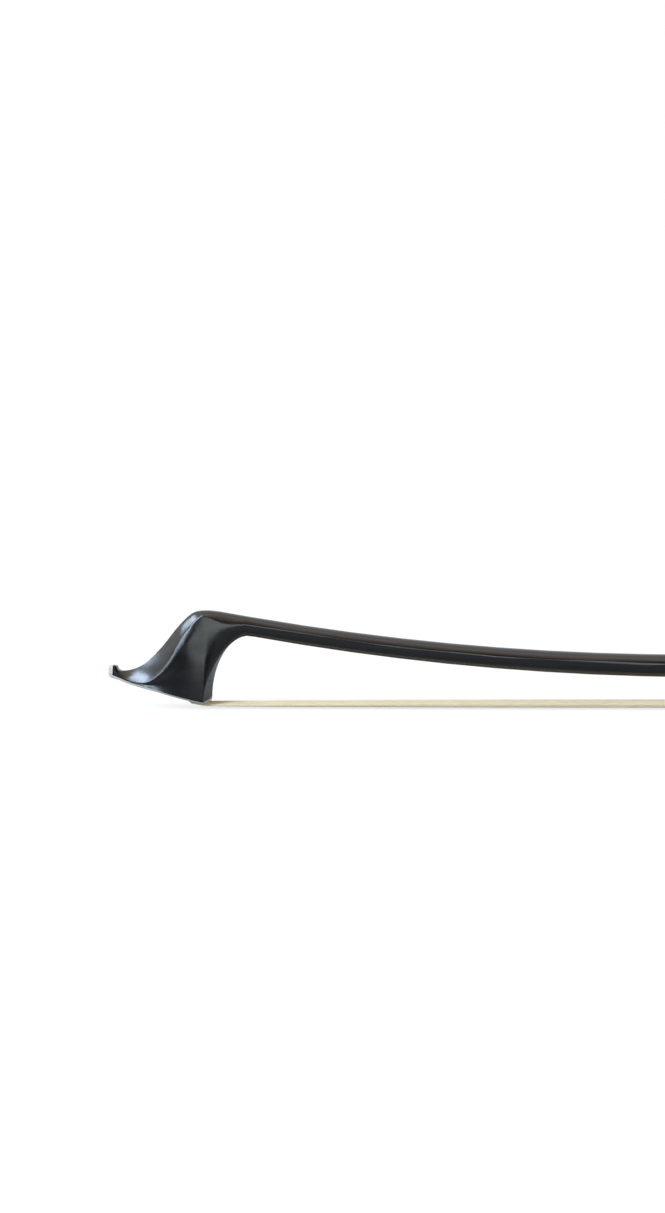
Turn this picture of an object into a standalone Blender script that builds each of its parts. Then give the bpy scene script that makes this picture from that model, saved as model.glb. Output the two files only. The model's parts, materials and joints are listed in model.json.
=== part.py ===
"""A violin bow: moulded carbon-fibre stick and head, horsehair, and an ebony frog on its adjuster screw.

Metres, +Z up. The hair runs along X, from the head at -X to the frog at +X, and the stick arches above it.
Outlines are drawn in the plane Y = 0. Those of the head are measured from the throat, where the head
becomes the stick, and from the line of the hair. Those of the frog and the adjuster are measured from the
end of the stick, along the axis of the handle, which is straight.
"""

import math

import bmesh
import bpy
from mathutils import Matrix, Vector

MM = 0.001

# Fits
SEAT_GAP = 0.3 * MM
INLAY_GAP = 0.2 * MM
CUTTER_RUNOUT = 1.0 * MM

# Stick: its axis is bent by the camber, most of it near the head
STICK_TIP_DIAMETER = 5.0 * MM
TAPER_LENGTH = 490 * MM
THROAT_HEIGHT = 20.0 * MM
TIP_SLOPE = -0.178
TIP_CURVATURE = 1.5
TIP_BEND_LENGTH = 90 * MM
BEND_FADE_LENGTH = 60 * MM
CAMBER_CURVATURE = 0.075
CAMBERED_LENGTH = 560 * MM

# Handle
HANDLE_LENGTH = 134 * MM
HANDLE_ACROSS_FLATS = 8.5 * MM
OCTAGON_LENGTH = 112 * MM
OCTAGON_FADE_LENGTH = 16 * MM
NIPPLE_DIAMETER = 4.8 * MM
NIPPLE_LENGTH = 1.5 * MM

# Head, integral with the stick
HEAD_LENGTH = 36.6 * MM
HEAD_HEIGHT = 24.1 * MM
PLATE_BED_LENGTH = 25.0 * MM
PLATE_BED_DROP = 0.75 * MM
PLATE_BED_SLOPE = 0.2057
PLATE_BED_BOW = 2.7
BEAK_SAG = 0.4 * MM
BEAK_SAG_START = 12 * MM
NOSE_WIDTH = 3.1 * MM
HEEL_WIDTH = 10.4 * MM
CHEEK_LEAN = 0.0235 / MM
CHEEK_HOLLOW = 0.22 * MM
RIDGE_WIDTH = 0.5 * MM
PEAK_WIDTH = 1.7 * MM
THROAT_FULLNESS = 1.8
THROAT_SAG = 0.15 * MM
THROAT_OVERLAP = 0.3 * MM
FIRST_STICK_RING = 1.8 * MM
HEEL_RING_CLEARANCE = 0.3 * MM

# Tip plate and the mortise that it leaves open
PLATE_THICKNESS = 0.45 * MM
NOSE_CAP_THICKNESS = 0.95 * MM
NOSE_CAP_HEIGHT = 2.9 * MM
HEAD_MORTISE_LENGTH = 8.0 * MM
HEAD_MORTISE_WIDTH = 6.0 * MM
HEAD_MORTISE_DEPTH = 6.8 * MM
HEAD_MORTISE_SETBACK = 3.6 * MM
MORTISE_NARROWING = 0.5 * MM

# Hair
HAIR_WIDTH_AT_HEAD = 7.2 * MM
HAIR_WIDTH_AT_FROG = 10.0 * MM
HAIR_WIDTH_IN_MORTISE = 5.2 * MM
HAIR_THICKNESS_AT_HEAD = 0.5 * MM
HAIR_THICKNESS = 0.8 * MM
HAIR_THICKNESS_IN_FROG = 0.6 * MM
HAIR_SPREAD_LENGTH = 80 * MM
HAIR_RIDGES = 10
HAIR_RIDGE_HEIGHT = 0.07 * MM
KNOT_DIAMETER = 2.4 * MM
HAIR_SETBACK_IN_HEAD = 2.0 * MM
HAIR_SETBACK_IN_FROG = 1.3 * MM

# Frog, measured from the end of the stick
FROG_SETBACK = 4.0 * MM
FROG_LENGTH = 43.5 * MM
FROG_EDGE_DROP = 3.0 * MM
HAIR_DROP = 20.7 * MM
FROG_EDGE_WIDTH = 9.9 * MM
FROG_FOOT_WIDTH = 12.7 * MM
FROG_LIP_THICKNESS = 3.3 * MM
HEEL_SETBACK = 7.4 * MM
HEEL_RAKE = 0.8 * MM
HEEL_HEIGHT = 9.4 * MM
THUMB_NOTCH_RISE = 6.4 * MM
THUMB_NOTCH_RUN = 8.3 * MM
BEAK_DROOP = 0.8 * MM
SLIDE_TRAVEL_TO_HEAD = 4.2 * MM
SLIDE_TRAVEL_TO_BUTTON = 2.8 * MM

# Ferrule
FERRULE_LENGTH = 13.7 * MM
FERRULE_WIDTH = 13.2 * MM
FERRULE_HEIGHT = 8.0 * MM
FERRULE_WALL = 0.5 * MM
FERRULE_SIDE_HEIGHT = 2.2 * MM
WEDGE_LENGTH = 6.0 * MM
WEDGE_THICKNESS = 0.9 * MM

# Slide, heel plates, eyes and pins
SLIDE_WIDTH = 7.0 * MM
DOVETAIL_FLARE = 0.6 * MM
PEARL_THICKNESS = 0.7 * MM
SLIDE_BASE_THICKNESS = 0.8 * MM
FROG_MORTISE_LENGTH = 6.5 * MM
FROG_MORTISE_WIDTH = 6.8 * MM
FROG_MORTISE_DEPTH = 6.5 * MM
FROG_MORTISE_SETBACK = 2.7 * MM
HEEL_PLATE_THICKNESS = 0.6 * MM
HEEL_PLATE_LENGTH = 6.1 * MM
EYE_DIAMETER = 6.4 * MM
EYE_RING_WIDTH = 0.7 * MM
EYE_THICKNESS = 0.7 * MM
EYE_HEIGHT = 8.6 * MM
PIN_DIAMETER = 0.9 * MM
HEEL_PIN_LENGTH = 2.8 * MM
UNDERSLIDE_PIN_LENGTH = 1.5 * MM
UNDERSLIDE_PIN_SETBACK = 2.2 * MM
UNDERSLIDE_THICKNESS = 0.45 * MM

# Eyelet, screw and button
EYELET_SETBACK = 23.0 * MM
EYELET_LENGTH = 5.8 * MM
EYELET_WIDTH = 5.0 * MM
EYELET_STEM_DIAMETER = 3.0 * MM
EYELET_STEM_LENGTH = 8.6 * MM
SCREW_DIAMETER = 2.9 * MM
SCREW_REACH = 61 * MM
SCREW_SEAT_DEPTH = 9.2 * MM
BUTTON_LENGTH = 13.4 * MM
BUTTON_ACROSS_FLATS = 8.7 * MM
BUTTON_RING_LENGTH = 3.9 * MM
BUTTON_TENON_DIAMETER = 6.8 * MM
BUTTON_WAIST_DIAMETER = 7.7 * MM
BUTTON_BELLY_DIAMETER = 8.5 * MM

# Grip
LEATHER_LENGTH = 20 * MM
LEATHER_THICKNESS = 1.0 * MM
WINDING_LENGTH = 84 * MM
WINDING_THICKNESS = 0.35 * MM

# Half of a ring of the stick has one point every 15 degrees, so that the octagon's corners are points
HALF_RING_ANGLES = [math.radians(82.5 - 15 * step) for step in range(12)]
BEVEL_POINTS = 5
THROAT_RINGS = 16
CHEEK_POINTS = 5

# Crest of the head, from nose to throat: share of the head's length ahead of the throat, share of its height
CREST_LINE = [
    (1.000, 0.400),
    (0.985, 0.406),
    (0.974, 0.392),
    (0.964, 0.360),
    (0.945, 0.349),
    (0.923, 0.347),
    (0.886, 0.354),
    (0.832, 0.377),
    (0.776, 0.419),
    (0.719, 0.489),
    (0.659, 0.576),
    (0.600, 0.676),
    (0.540, 0.788),
    (0.475, 0.892),
    (0.414, 0.970),
    (0.362, 0.997),
    (0.291, 1.001),
    (0.208, 0.988),
    (0.088, 0.958),
]

# Edge between the front bevel and the cheek, in the same shares
EDGE_LINE = [
    (0.780, 0.195),
    (0.727, 0.230),
    (0.632, 0.350),
    (0.553, 0.492),
    (0.493, 0.656),
    (0.425, 0.775),
    (0.387, 0.865),
    (0.333, 0.945),
    (0.265, 0.942),
    (0.177, 0.917),
    (0.088, 0.890),
]


def clear_scene():
    """Remove every object of the scene."""
    for obj in list(bpy.data.objects):
        bpy.data.objects.remove(obj, do_unlink=True)


def linear(channel):
    """Linear value of one sRGB channel from 0 to 255."""
    share = channel / 255
    return share / 12.92 if share <= 0.04045 else ((share + 0.055) / 1.055) ** 2.4


def material(name, srgb, roughness, metallic=0.0):
    """A plain finish from an sRGB colour."""
    made = bpy.data.materials.new(name)
    made.use_nodes = True
    shader = made.node_tree.nodes["Principled BSDF"]
    shader.inputs["Base Color"].default_value = [linear(channel) for channel in srgb] + [1.0]
    shader.inputs["Roughness"].default_value = roughness
    shader.inputs["Metallic"].default_value = metallic
    made.diffuse_color = shader.inputs["Base Color"].default_value
    return made


def empty(name, parent=None, location=(0, 0, 0), tilt=0.0):
    """An empty that carries pieces, turned about Y so that its X axis climbs by the tilt."""
    made = bpy.data.objects.new(name, None)
    bpy.context.scene.collection.objects.link(made)
    made.parent = parent
    made.location = location
    made.rotation_euler = (0.0, -tilt, 0.0)
    return made


def finish(bm, name, parent, finish_of=None, smooth_angle=35.0):
    """Turn a bmesh into an object of its own, with its faces pointing out."""
    bmesh.ops.remove_doubles(bm, verts=bm.verts, dist=1e-7)
    bmesh.ops.recalc_face_normals(bm, faces=bm.faces)
    mesh = bpy.data.meshes.new(name)
    bm.to_mesh(mesh)
    bm.free()
    mesh.shade_smooth()
    mesh.set_sharp_from_angle(angle=math.radians(smooth_angle))
    made = bpy.data.objects.new(name, mesh)
    bpy.context.scene.collection.objects.link(made)
    made.parent = parent
    if finish_of:
        mesh.materials.append(finish_of)
    return made


def as_cutter(obj):
    """Keep a shape out of the model: it only cuts or adds to another."""
    obj.hide_render = True
    obj.display_type = "WIRE"
    return obj


def boolean(target, cutter, operation="DIFFERENCE"):
    """Cut the target with the cutter, or join the cutter to it."""
    step = target.modifiers.new(cutter.name, "BOOLEAN")
    step.operation = operation
    step.solver = "EXACT"
    step.object = as_cutter(cutter)


def first_ring(bm, points):
    """A closed ring of vertices through the points."""
    ring = [bm.verts.new(point) for point in points]
    for one, other in zip(ring, ring[1:] + ring[:1]):
        bm.edges.new((one, other))
    return ring


def extrude_ring(bm, ring, points):
    """Extrude a closed ring onto the points, and return its new vertices in the same order."""
    edges = [bm.edges.get(pair) for pair in zip(ring, ring[1:] + ring[:1])]
    grown = bmesh.ops.extrude_edge_only(bm, edges=edges)["geom"]
    fresh = {item for item in grown if isinstance(item, bmesh.types.BMVert)}
    moved = []
    for vertex in ring:
        partners = [edge.other_vert(vertex) for edge in vertex.link_edges]
        moved.append(next(partner for partner in partners if partner in fresh))
    for vertex, point in zip(moved, points):
        vertex.co = point
    return moved


def loft(rings, closed=False):
    """A skin over rings of as many points each, capped at both ends, or closed on itself."""
    bm = bmesh.new()
    start = first_ring(bm, rings[0])
    last = start
    for points in rings[1:]:
        last = extrude_ring(bm, last, points)
    if closed:
        extrude_ring(bm, last, rings[0])
    else:
        bm.faces.new(start)
        bm.faces.new(last)
    return bm


def prism(outline, low, high, axis="Y"):
    """Extrude a flat outline from low to high along an axis. Its points lie in the other two axes."""
    place = {
        "X": lambda a, b, c: (c, a, b),
        "Y": lambda a, b, c: (a, c, b),
        "Z": lambda a, b, c: (a, b, c),
    }[axis]
    return loft([[place(a, b, level) for a, b in outline] for level in (low, high)])


def rectangle(left, right, low, high):
    """Corners of a rectangle, as the outline of a prism."""
    return [(left, low), (right, low), (right, high), (left, high)]


def turned(profile, segments=24):
    """Spin an outline of (position along X, radius) about the X axis."""
    bm = bmesh.new()
    verts = [bm.verts.new((along, 0.0, radius)) for along, radius in profile]
    edges = [bm.edges.new(pair) for pair in zip(verts, verts[1:])]
    if profile[0][1] > 0 or profile[-1][1] > 0:
        edges.append(bm.edges.new((verts[-1], verts[0])))
    whole_turn = 2 * math.pi
    geometry = verts + edges
    bmesh.ops.spin(
        bm, geom=geometry, axis=(1, 0, 0), cent=(0, 0, 0), angle=whole_turn, steps=segments, use_merge=True
    )
    bmesh.ops.remove_doubles(bm, verts=bm.verts, dist=1e-7)
    return bm


def rod(radius, start, end, segments=24):
    """A solid round rod along X."""
    return turned([(start, 0.0), (start, radius), (end, radius), (end, 0.0)], segments)


def turn_about_y(bm, angle):
    """Turn a shape about the Y axis; a quarter turn stands an X rod up along Z."""
    bmesh.ops.rotate(bm, verts=bm.verts, cent=(0, 0, 0), matrix=Matrix.Rotation(angle, 3, "Y"))


def move(bm, x=0.0, y=0.0, z=0.0):
    """Move a shape."""
    bmesh.ops.translate(bm, verts=bm.verts, vec=(x, y, z))


def joined(shapes):
    """One bmesh that holds several separate cutters."""
    whole = bmesh.new()
    for shape in shapes:
        piece = bpy.data.meshes.new("piece")
        shape.to_mesh(piece)
        shape.free()
        whole.from_mesh(piece)
        bpy.data.meshes.remove(piece)
    return whole


def smooth_line(points, per_span):
    """Points of a Catmull-Rom curve through the given ones, with per_span steps between two of them."""
    ends = [points[0]] + list(points) + [points[-1]]
    line = []
    for before, start, end, after in zip(ends, ends[1:], ends[2:], ends[3:]):
        for step in range(per_span):
            t = step / per_span
            spot = []
            for p0, p1, p2, p3 in zip(before, start, end, after):
                bend = 2 * p0 - 5 * p1 + 4 * p2 - p3
                twist = 3 * p1 - p0 + p3 - 3 * p2
                spot.append(p1 + 0.5 * t * (p2 - p0 + t * (bend + t * twist)))
            line.append(tuple(spot))
    return line + [tuple(points[-1])]


def height_on(line, x):
    """Height of a line of (x, z) points at x, straight between points and level beyond its ends."""
    if x <= line[0][0]:
        return line[0][1]
    for (x0, z0), (x1, z1) in zip(line, line[1:]):
        if x <= x1:
            return z0 + (z1 - z0) * (x - x0) / (x1 - x0)
    return line[-1][1]


def ease(share):
    """A share that starts and ends gently, held between 0 and 1."""
    held = min(max(share, 0.0), 1.0)
    return held * held * (3 - 2 * held)


def blend(start, end, share):
    return start + (end - start) * share


def soft_limit(value, limit, reach):
    """The value, held under a limit that it nears gently over the last reach."""
    over = value - (limit - reach)
    return value if over <= 0 else limit - reach * math.exp(-over / reach)


# Stick


def axis_slope(x):
    """Slope of the stick's axis, x behind the throat: the camber's curvature summed up to there."""
    cambered = min(x, CAMBERED_LENGTH)
    bent = min(x, TIP_BEND_LENGTH)
    fading = min(max(x - TIP_BEND_LENGTH, 0.0), BEND_FADE_LENGTH)
    extra = (TIP_CURVATURE - CAMBER_CURVATURE) * (bent + fading - fading**2 / (2 * BEND_FADE_LENGTH))
    return TIP_SLOPE + CAMBER_CURVATURE * cambered + extra


def axis_height(x):
    """Height of the stick's axis above the line of the hair: its slope summed up from the throat."""
    cambered = min(x, CAMBERED_LENGTH)
    bent = min(x, TIP_BEND_LENGTH)
    fading = min(max(x - TIP_BEND_LENGTH, 0.0), BEND_FADE_LENGTH)
    past_bend = max(x - TIP_BEND_LENGTH, 0.0)
    past_fade = max(x - TIP_BEND_LENGTH - BEND_FADE_LENGTH, 0.0)
    extra = TIP_CURVATURE - CAMBER_CURVATURE
    height = THROAT_HEIGHT + TIP_SLOPE * x
    height += CAMBER_CURVATURE * (cambered**2 / 2 + cambered * (x - cambered))
    height += extra * (bent**2 / 2 + bent * past_bend)
    height += extra * (fading**2 / 2 - fading**3 / (6 * BEND_FADE_LENGTH) + BEND_FADE_LENGTH / 2 * past_fade)
    return height


HANDLE_TILT = math.atan(axis_slope(CAMBERED_LENGTH))
STICK_END_X = CAMBERED_LENGTH + HANDLE_LENGTH * math.cos(HANDLE_TILT)
STICK_END = Vector((STICK_END_X, 0.0, axis_height(STICK_END_X)))


def from_handle(along, drop):
    """Bow coordinates (x, z) of a point given along the handle's axis from its end, and below the axis."""
    x = STICK_END.x + along * math.cos(HANDLE_TILT) + drop * math.sin(HANDLE_TILT)
    z = STICK_END.z + along * math.sin(HANDLE_TILT) - drop * math.cos(HANDLE_TILT)
    return x, z


def handle_station(along):
    """Distance behind the throat of a place on the handle, given along its axis from its end."""
    return STICK_END.x + along * math.cos(HANDLE_TILT)


def stick_width(x):
    """Diameter of the stick, or its width across flats, x behind the throat."""
    return blend(STICK_TIP_DIAMETER, HANDLE_ACROSS_FLATS, min(max(x, 0.0) / TAPER_LENGTH, 1.0))


def octagon_share(x):
    """0 where the stick is round, 1 where it is eight-sided."""
    along = (x - STICK_END.x) / math.cos(HANDLE_TILT)
    return ease((along + OCTAGON_LENGTH + OCTAGON_FADE_LENGTH) / OCTAGON_FADE_LENGTH)


def ring_of(half):
    """A ring of 3D points from its right half, from top to bottom."""
    right = [Vector((x, y, z)) for x, y, z in half]
    left = [Vector((x, -y, z)) for x, y, z in reversed(half)]
    return right + left


def stick_ring(x, grow=0.0, radius=None):
    """Ring of the stick's section at a station, grown outwards, or a round ring of the given radius there."""
    tilt = math.atan(axis_slope(x))
    half = []
    for angle in HALF_RING_ANGLES:
        off_flat = (angle + math.pi / 8) % (math.pi / 4) - math.pi / 8
        reach = stick_width(x) / 2 + grow
        reach *= blend(1.0, 1.0 / math.cos(off_flat), octagon_share(x))
        if radius is not None:
            reach = radius
        up = reach * math.sin(angle)
        half.append((x - up * math.sin(tilt), reach * math.cos(angle), axis_height(x) + up * math.cos(tilt)))
    return ring_of(half)


def shifted(ring, along):
    """A ring moved along the handle's axis."""
    step = Vector((along * math.cos(HANDLE_TILT), 0.0, along * math.sin(HANDLE_TILT)))
    return [point + step for point in ring]


# Head


def plate_bed(x):
    """Height of the head's underside, which climbs towards the nose and is a little fuller under the beak."""
    ahead = -x - (HEAD_LENGTH - PLATE_BED_LENGTH)
    beak = min(max((ahead - BEAK_SAG_START) / (PLATE_BED_LENGTH - BEAK_SAG_START), 0.0), 1.0)
    fullest_at = 2 / 3
    sag = BEAK_SAG * beak**2 * (1 - beak) / (fullest_at**2 * (1 - fullest_at))
    return PLATE_BED_DROP + PLATE_BED_SLOPE * ahead + PLATE_BED_BOW * ahead**2 - sag


def plan_half(x):
    """Half of the width of the head's underside: narrow at the nose, full at the heel of the head."""
    behind_nose = min(max((x + HEAD_LENGTH) / PLATE_BED_LENGTH, 0.0), 1.0)
    return blend(NOSE_WIDTH, HEEL_WIDTH, math.sin(math.pi / 2 * behind_nose) ** 1.2) / 2


def cheek_half(x, z):
    """Half of the head's width at a height: the cheeks lean in above the plate."""
    heel_x = -(HEAD_LENGTH - PLATE_BED_LENGTH)
    station = min(x, heel_x)
    lean = 1 - CHEEK_LEAN * max(z - plate_bed(station), 0.0)
    return plan_half(station) * max(lean, 0.3)


def throat_line(share):
    """Point (x, z) of the throat's curve, from the heel of the head at 0 to the stick's underside at 1."""
    run = HEAD_LENGTH - PLATE_BED_LENGTH
    stick_bottom = stick_ring(0.0)[len(HALF_RING_ANGLES) - 1]
    rise = stick_bottom.z - plate_bed(-run) - THROAT_SAG
    turn = share * math.pi / 2
    power = 2 / THROAT_FULLNESS
    x = -run * math.cos(turn) ** power
    along_stick = TIP_SLOPE * x * share**4
    return x + THROAT_OVERLAP * share, plate_bed(-run) + rise * math.sin(turn) ** power + along_stick


def head_ring(crest, keel, round_share):
    """Ring of the head between a crest point and a keel point: bevelled, or round by share."""
    edge_line = [(-HEAD_LENGTH * ahead, HEAD_HEIGHT * up) for ahead, up in EDGE_LINE]
    depth = crest[1] - keel[1]
    edge_share = soft_limit(max((crest[1] - height_on(edge_line, crest[0])) / depth, 0.05), 0.94, 0.3)
    hook = ease((-crest[0] - 0.88 * HEAD_LENGTH) / (0.08 * HEAD_LENGTH))
    peak = ease((crest[0] + 0.45 * HEAD_LENGTH) / (0.15 * HEAD_LENGTH))
    crest_half = RIDGE_WIDTH / 2 + hook * 0.4 * NOSE_WIDTH / 2 + peak * (PEAK_WIDTH - RIDGE_WIDTH) / 2
    shares = []
    for step in range(BEVEL_POINTS):
        shares.append(edge_share * step / (BEVEL_POINTS - 1))
    for step in range(1, CHEEK_POINTS + 1):
        shares.append(blend(edge_share, 1.0, step / (CHEEK_POINTS + 1)))
    shares += [1.0, 1.0]
    edge_half = cheek_half(*(blend(a, b, edge_share) for a, b in zip(crest, keel)))
    half = []
    for index, (share, angle) in enumerate(zip(shares, HALF_RING_ANGLES)):
        x, z = (blend(a, b, share) for a, b in zip(crest, keel))
        if share < edge_share:
            width = blend(crest_half, edge_half, (share / edge_share) ** 0.9)
        else:
            down = (share - edge_share) / (1 - edge_share)
            width = cheek_half(x, z) - CHEEK_HOLLOW * math.sin(math.pi * down)
        if index == BEVEL_POINTS - 1:
            width -= 0.06 * edge_half
        if index == len(shares) - 1:
            width *= 0.35
        round_at = (1 - math.sin(angle)) / 2
        round_width = stick_width(0.0) / 2 * math.cos(angle)
        at = blend(share, round_at, round_share)
        x, z = (blend(a, b, at) for a, b in zip(crest, keel))
        half.append((x, blend(width, round_width, round_share), z))
    return ring_of(half)


def head_rings():
    """Rings of the head from the nose to the throat."""
    heel_x = -(HEAD_LENGTH - PLATE_BED_LENGTH)
    stick_top = stick_ring(0.0)[0]
    crest_points = [(-HEAD_LENGTH * ahead, HEAD_HEIGHT * up) for ahead, up in CREST_LINE]
    crest = smooth_line(crest_points + [(stick_top.x, stick_top.z)], 2)
    over_plate = [point for point in crest if point[0] < heel_x - HEEL_RING_CLEARANCE]
    over_throat = [point for point in crest if point[0] >= heel_x - HEEL_RING_CLEARANCE]
    rings = [head_ring(point, (point[0], plate_bed(point[0])), 0.0) for point in over_plate]
    for step in range(THROAT_RINGS):
        share = step / THROAT_RINGS
        x = blend(heel_x, stick_top.x, share)
        spot = (x, height_on([over_plate[-1]] + over_throat, x))
        rings.append(head_ring(spot, throat_line(share), ease(share)))
    return rings


def make_stick(bow, carbon):
    """Stick, head and end nipple in one skin, then the bore, the slot for the eyelet and the head mortise."""
    rings = head_rings()
    cambered_steps = 44
    for step in range(cambered_steps):
        rings.append(stick_ring(blend(FIRST_STICK_RING, CAMBERED_LENGTH, step / cambered_steps)))
    fade_start = handle_station(-OCTAGON_LENGTH - OCTAGON_FADE_LENGTH)
    fade_end = handle_station(-OCTAGON_LENGTH)
    for step in range(5):
        rings.append(stick_ring(blend(fade_start, fade_end, step / 4)))
    end = stick_ring(STICK_END.x)
    nipple = stick_ring(STICK_END.x, radius=NIPPLE_DIAMETER / 2)
    rings += [end, nipple, shifted(nipple, NIPPLE_LENGTH)]
    stick = finish(loft(rings), "stick", bow, carbon)

    bore_end = -SCREW_REACH - SLIDE_TRAVEL_TO_HEAD / 2
    bore = rod(SCREW_DIAMETER / 2 + SEAT_GAP, bore_end, NIPPLE_LENGTH + CUTTER_RUNOUT)
    slot_front = -EYELET_SETBACK - EYELET_LENGTH / 2 - SLIDE_TRAVEL_TO_HEAD - CUTTER_RUNOUT
    slot_rear = -EYELET_SETBACK + EYELET_LENGTH / 2 + SLIDE_TRAVEL_TO_BUTTON + CUTTER_RUNOUT
    slot_half = EYELET_WIDTH / 2 + SEAT_GAP
    slot_top = EYELET_WIDTH / 2 + SEAT_GAP
    slot = prism(rectangle(slot_front, slot_rear, -HANDLE_ACROSS_FLATS, slot_top), -slot_half, slot_half)
    for name, shape in (("screw_bore", bore), ("eyelet_slot", slot)):
        turn_about_y(shape, -HANDLE_TILT)
        move(shape, STICK_END.x, 0.0, STICK_END.z)
        boolean(stick, finish(shape, name, bow))
    boolean(stick, finish(head_mortise(0.0), "head_mortise", bow))
    return stick


def head_mortise_span():
    """Front and rear of the head mortise."""
    rear = -(HEAD_LENGTH - PLATE_BED_LENGTH) - HEAD_MORTISE_SETBACK
    return rear - HEAD_MORTISE_LENGTH, rear


def head_mortise(shrink):
    """The head mortise as a solid, narrower at its floor, with its walls moved in by the shrink."""
    front, rear = head_mortise_span()
    levels = (plate_bed(front) - 4 * MM, plate_bed(rear) + HEAD_MORTISE_DEPTH)
    rings = []
    for level, narrowing in zip(levels, (0.0, MORTISE_NARROWING)):
        half = HEAD_MORTISE_WIDTH / 2 - narrowing - shrink
        low, high = front + shrink + narrowing, rear - shrink
        rings.append([(low, -half, level), (high, -half, level), (high, half, level), (low, half, level)])
    return loft(rings)


def make_tip_plate(bow, ivory):
    """A strip that lies under the head and turns up over the nose, open at the mortise."""
    heel_x = -(HEAD_LENGTH - PLATE_BED_LENGTH)
    rings = []
    cap_top = plate_bed(-HEAD_LENGTH) + NOSE_CAP_HEIGHT - INLAY_GAP - PLATE_THICKNESS
    inner_x = -HEAD_LENGTH - INLAY_GAP
    outer_x = inner_x - NOSE_CAP_THICKNESS
    inner_bottom = plate_bed(-HEAD_LENGTH) - INLAY_GAP
    nose_half = NOSE_WIDTH / 2

    def strip_ring(inner, outer, half):
        return [(*inner, half), (*outer, 0.92 * half), (*outer, -0.92 * half), (*inner, -half)]

    rings.append(strip_ring((inner_x, cap_top), (outer_x + 0.15 * MM, cap_top), 0.8 * nose_half))
    rings.append(strip_ring((inner_x, cap_top - 0.9 * MM), (outer_x, cap_top - 0.9 * MM), nose_half))
    rings.append(strip_ring((inner_x, inner_bottom + 0.5 * MM), (outer_x, inner_bottom), nose_half))
    corner = (inner_x - 0.4 * MM, inner_bottom - 0.75 * MM)
    rings.append(strip_ring((inner_x, inner_bottom), corner, nose_half))
    steps = 14
    for step in range(1, steps + 1):
        x = blend(-HEAD_LENGTH, heel_x, step / steps)
        top = plate_bed(x) - INLAY_GAP
        rings.append(strip_ring((x, top), (x, top - PLATE_THICKNESS), plan_half(x)))
    placed = [[(x, y, z) for x, z, y in ring] for ring in rings]
    plate = finish(loft(placed), "tip_plate", bow, ivory)
    boolean(plate, finish(head_mortise(0.0), "plate_opening", bow))
    return plate


# Hair


def hair_stations():
    """Stations of the ribbon from knot to knot: (x, z, half width, thickness) in bow coordinates."""
    mortise_front, mortise_rear = head_mortise_span()
    heel_x = -(HEAD_LENGTH - PLATE_BED_LENGTH)
    in_mortise = HAIR_WIDTH_IN_MORTISE / 2
    at_head = HAIR_WIDTH_AT_HEAD / 2
    at_frog = HAIR_WIDTH_AT_FROG / 2
    thin = HAIR_THICKNESS_AT_HEAD
    below_plate = 2 * INLAY_GAP + PLATE_THICKNESS + thin / 2
    bed = plate_bed(mortise_rear)
    mouth_x = blend(mortise_rear, heel_x, 0.6)

    stations = [
        (mortise_rear - HAIR_SETBACK_IN_HEAD, bed + 3.4 * MM, in_mortise, thin),
        (mortise_rear - 1.7 * MM, bed + 1.4 * MM, in_mortise, thin),
        (mortise_rear - 1.1 * MM, bed - 0.5 * MM, in_mortise + 0.1 * MM, thin),
        (mortise_rear - 0.1 * MM, bed - below_plate - 0.1 * MM, in_mortise + 0.3 * MM, thin),
        (mouth_x, plate_bed(mouth_x) - below_plate, at_head, thin),
        (heel_x + 0.4 * MM, plate_bed(heel_x) - below_plate, at_head + 0.05 * MM, thin),
    ]
    mouth = from_handle(ferrule_front(), HAIR_DROP)
    start = (heel_x + 0.4 * MM, plate_bed(heel_x) - below_plate)
    for share in (0.02, 0.06, 0.13, 0.3, 0.5, 0.7, 0.85, 0.95):
        run = share * (mouth[0] - start[0])
        width = blend(at_head, at_frog, 0.45 * ease(run / HAIR_SPREAD_LENGTH) + 0.55 * share)
        depth = blend(thin, HAIR_THICKNESS, ease(run / HAIR_SPREAD_LENGTH))
        depth = blend(depth, HAIR_THICKNESS_IN_FROG, ease(share * 8 - 7))
        stations.append((start[0] + run, blend(start[1], mouth[1], share), width, depth))

    front, rear = frog_mortise_span()
    flat = HAIR_THICKNESS_IN_FROG
    over_slide = slide_base_top() - INLAY_GAP - flat / 2
    tail = [
        (ferrule_front() - 0.5 * MM, HAIR_DROP, at_frog),
        (ferrule_front() + WEDGE_LENGTH + 2.6 * MM, HAIR_DROP, blend(at_frog, in_mortise, 0.45)),
        (ferrule_rear() - 0.2 * MM, over_slide, blend(at_frog, in_mortise, 0.75)),
        (front + 0.2 * MM, over_slide, in_mortise + 0.3 * MM),
        (front + 0.9 * MM, over_slide - 0.35 * MM, in_mortise),
        (front + 1.25 * MM, over_slide - 1.1 * MM, in_mortise),
        (front + HAIR_SETBACK_IN_FROG, over_slide - 2.0 * MM, in_mortise),
    ]
    for along, drop, width in tail:
        stations.append((*from_handle(along, drop), width, flat))
    return stations


def make_hair(bow, horsehair):
    """A flat ribbon with ridges along it, bent into both mortises."""
    stations = hair_stations()
    rings = []
    for index, (x, z, half, depth) in enumerate(stations):
        before = stations[max(index - 1, 0)]
        after = stations[min(index + 1, len(stations) - 1)]
        run, rise = after[0] - before[0], after[1] - before[1]
        length = math.hypot(run, rise)
        across = (-rise / length, run / length)
        top = []
        for step in range(2 * HAIR_RIDGES + 1):
            y = half * (1 - step / HAIR_RIDGES)
            crown = depth / 2 * (1 - 0.25 * (y / half) ** 4) - (HAIR_RIDGE_HEIGHT if step % 2 == 0 else 0.0)
            top.append((y, crown))
        section = top + [(y, -crown) for y, crown in reversed(top)]
        rings.append([(x + across[0] * off, y, z + across[1] * off) for y, off in section])
    return finish(loft(rings), "hair_ribbon", bow, horsehair, 60.0)


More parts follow.
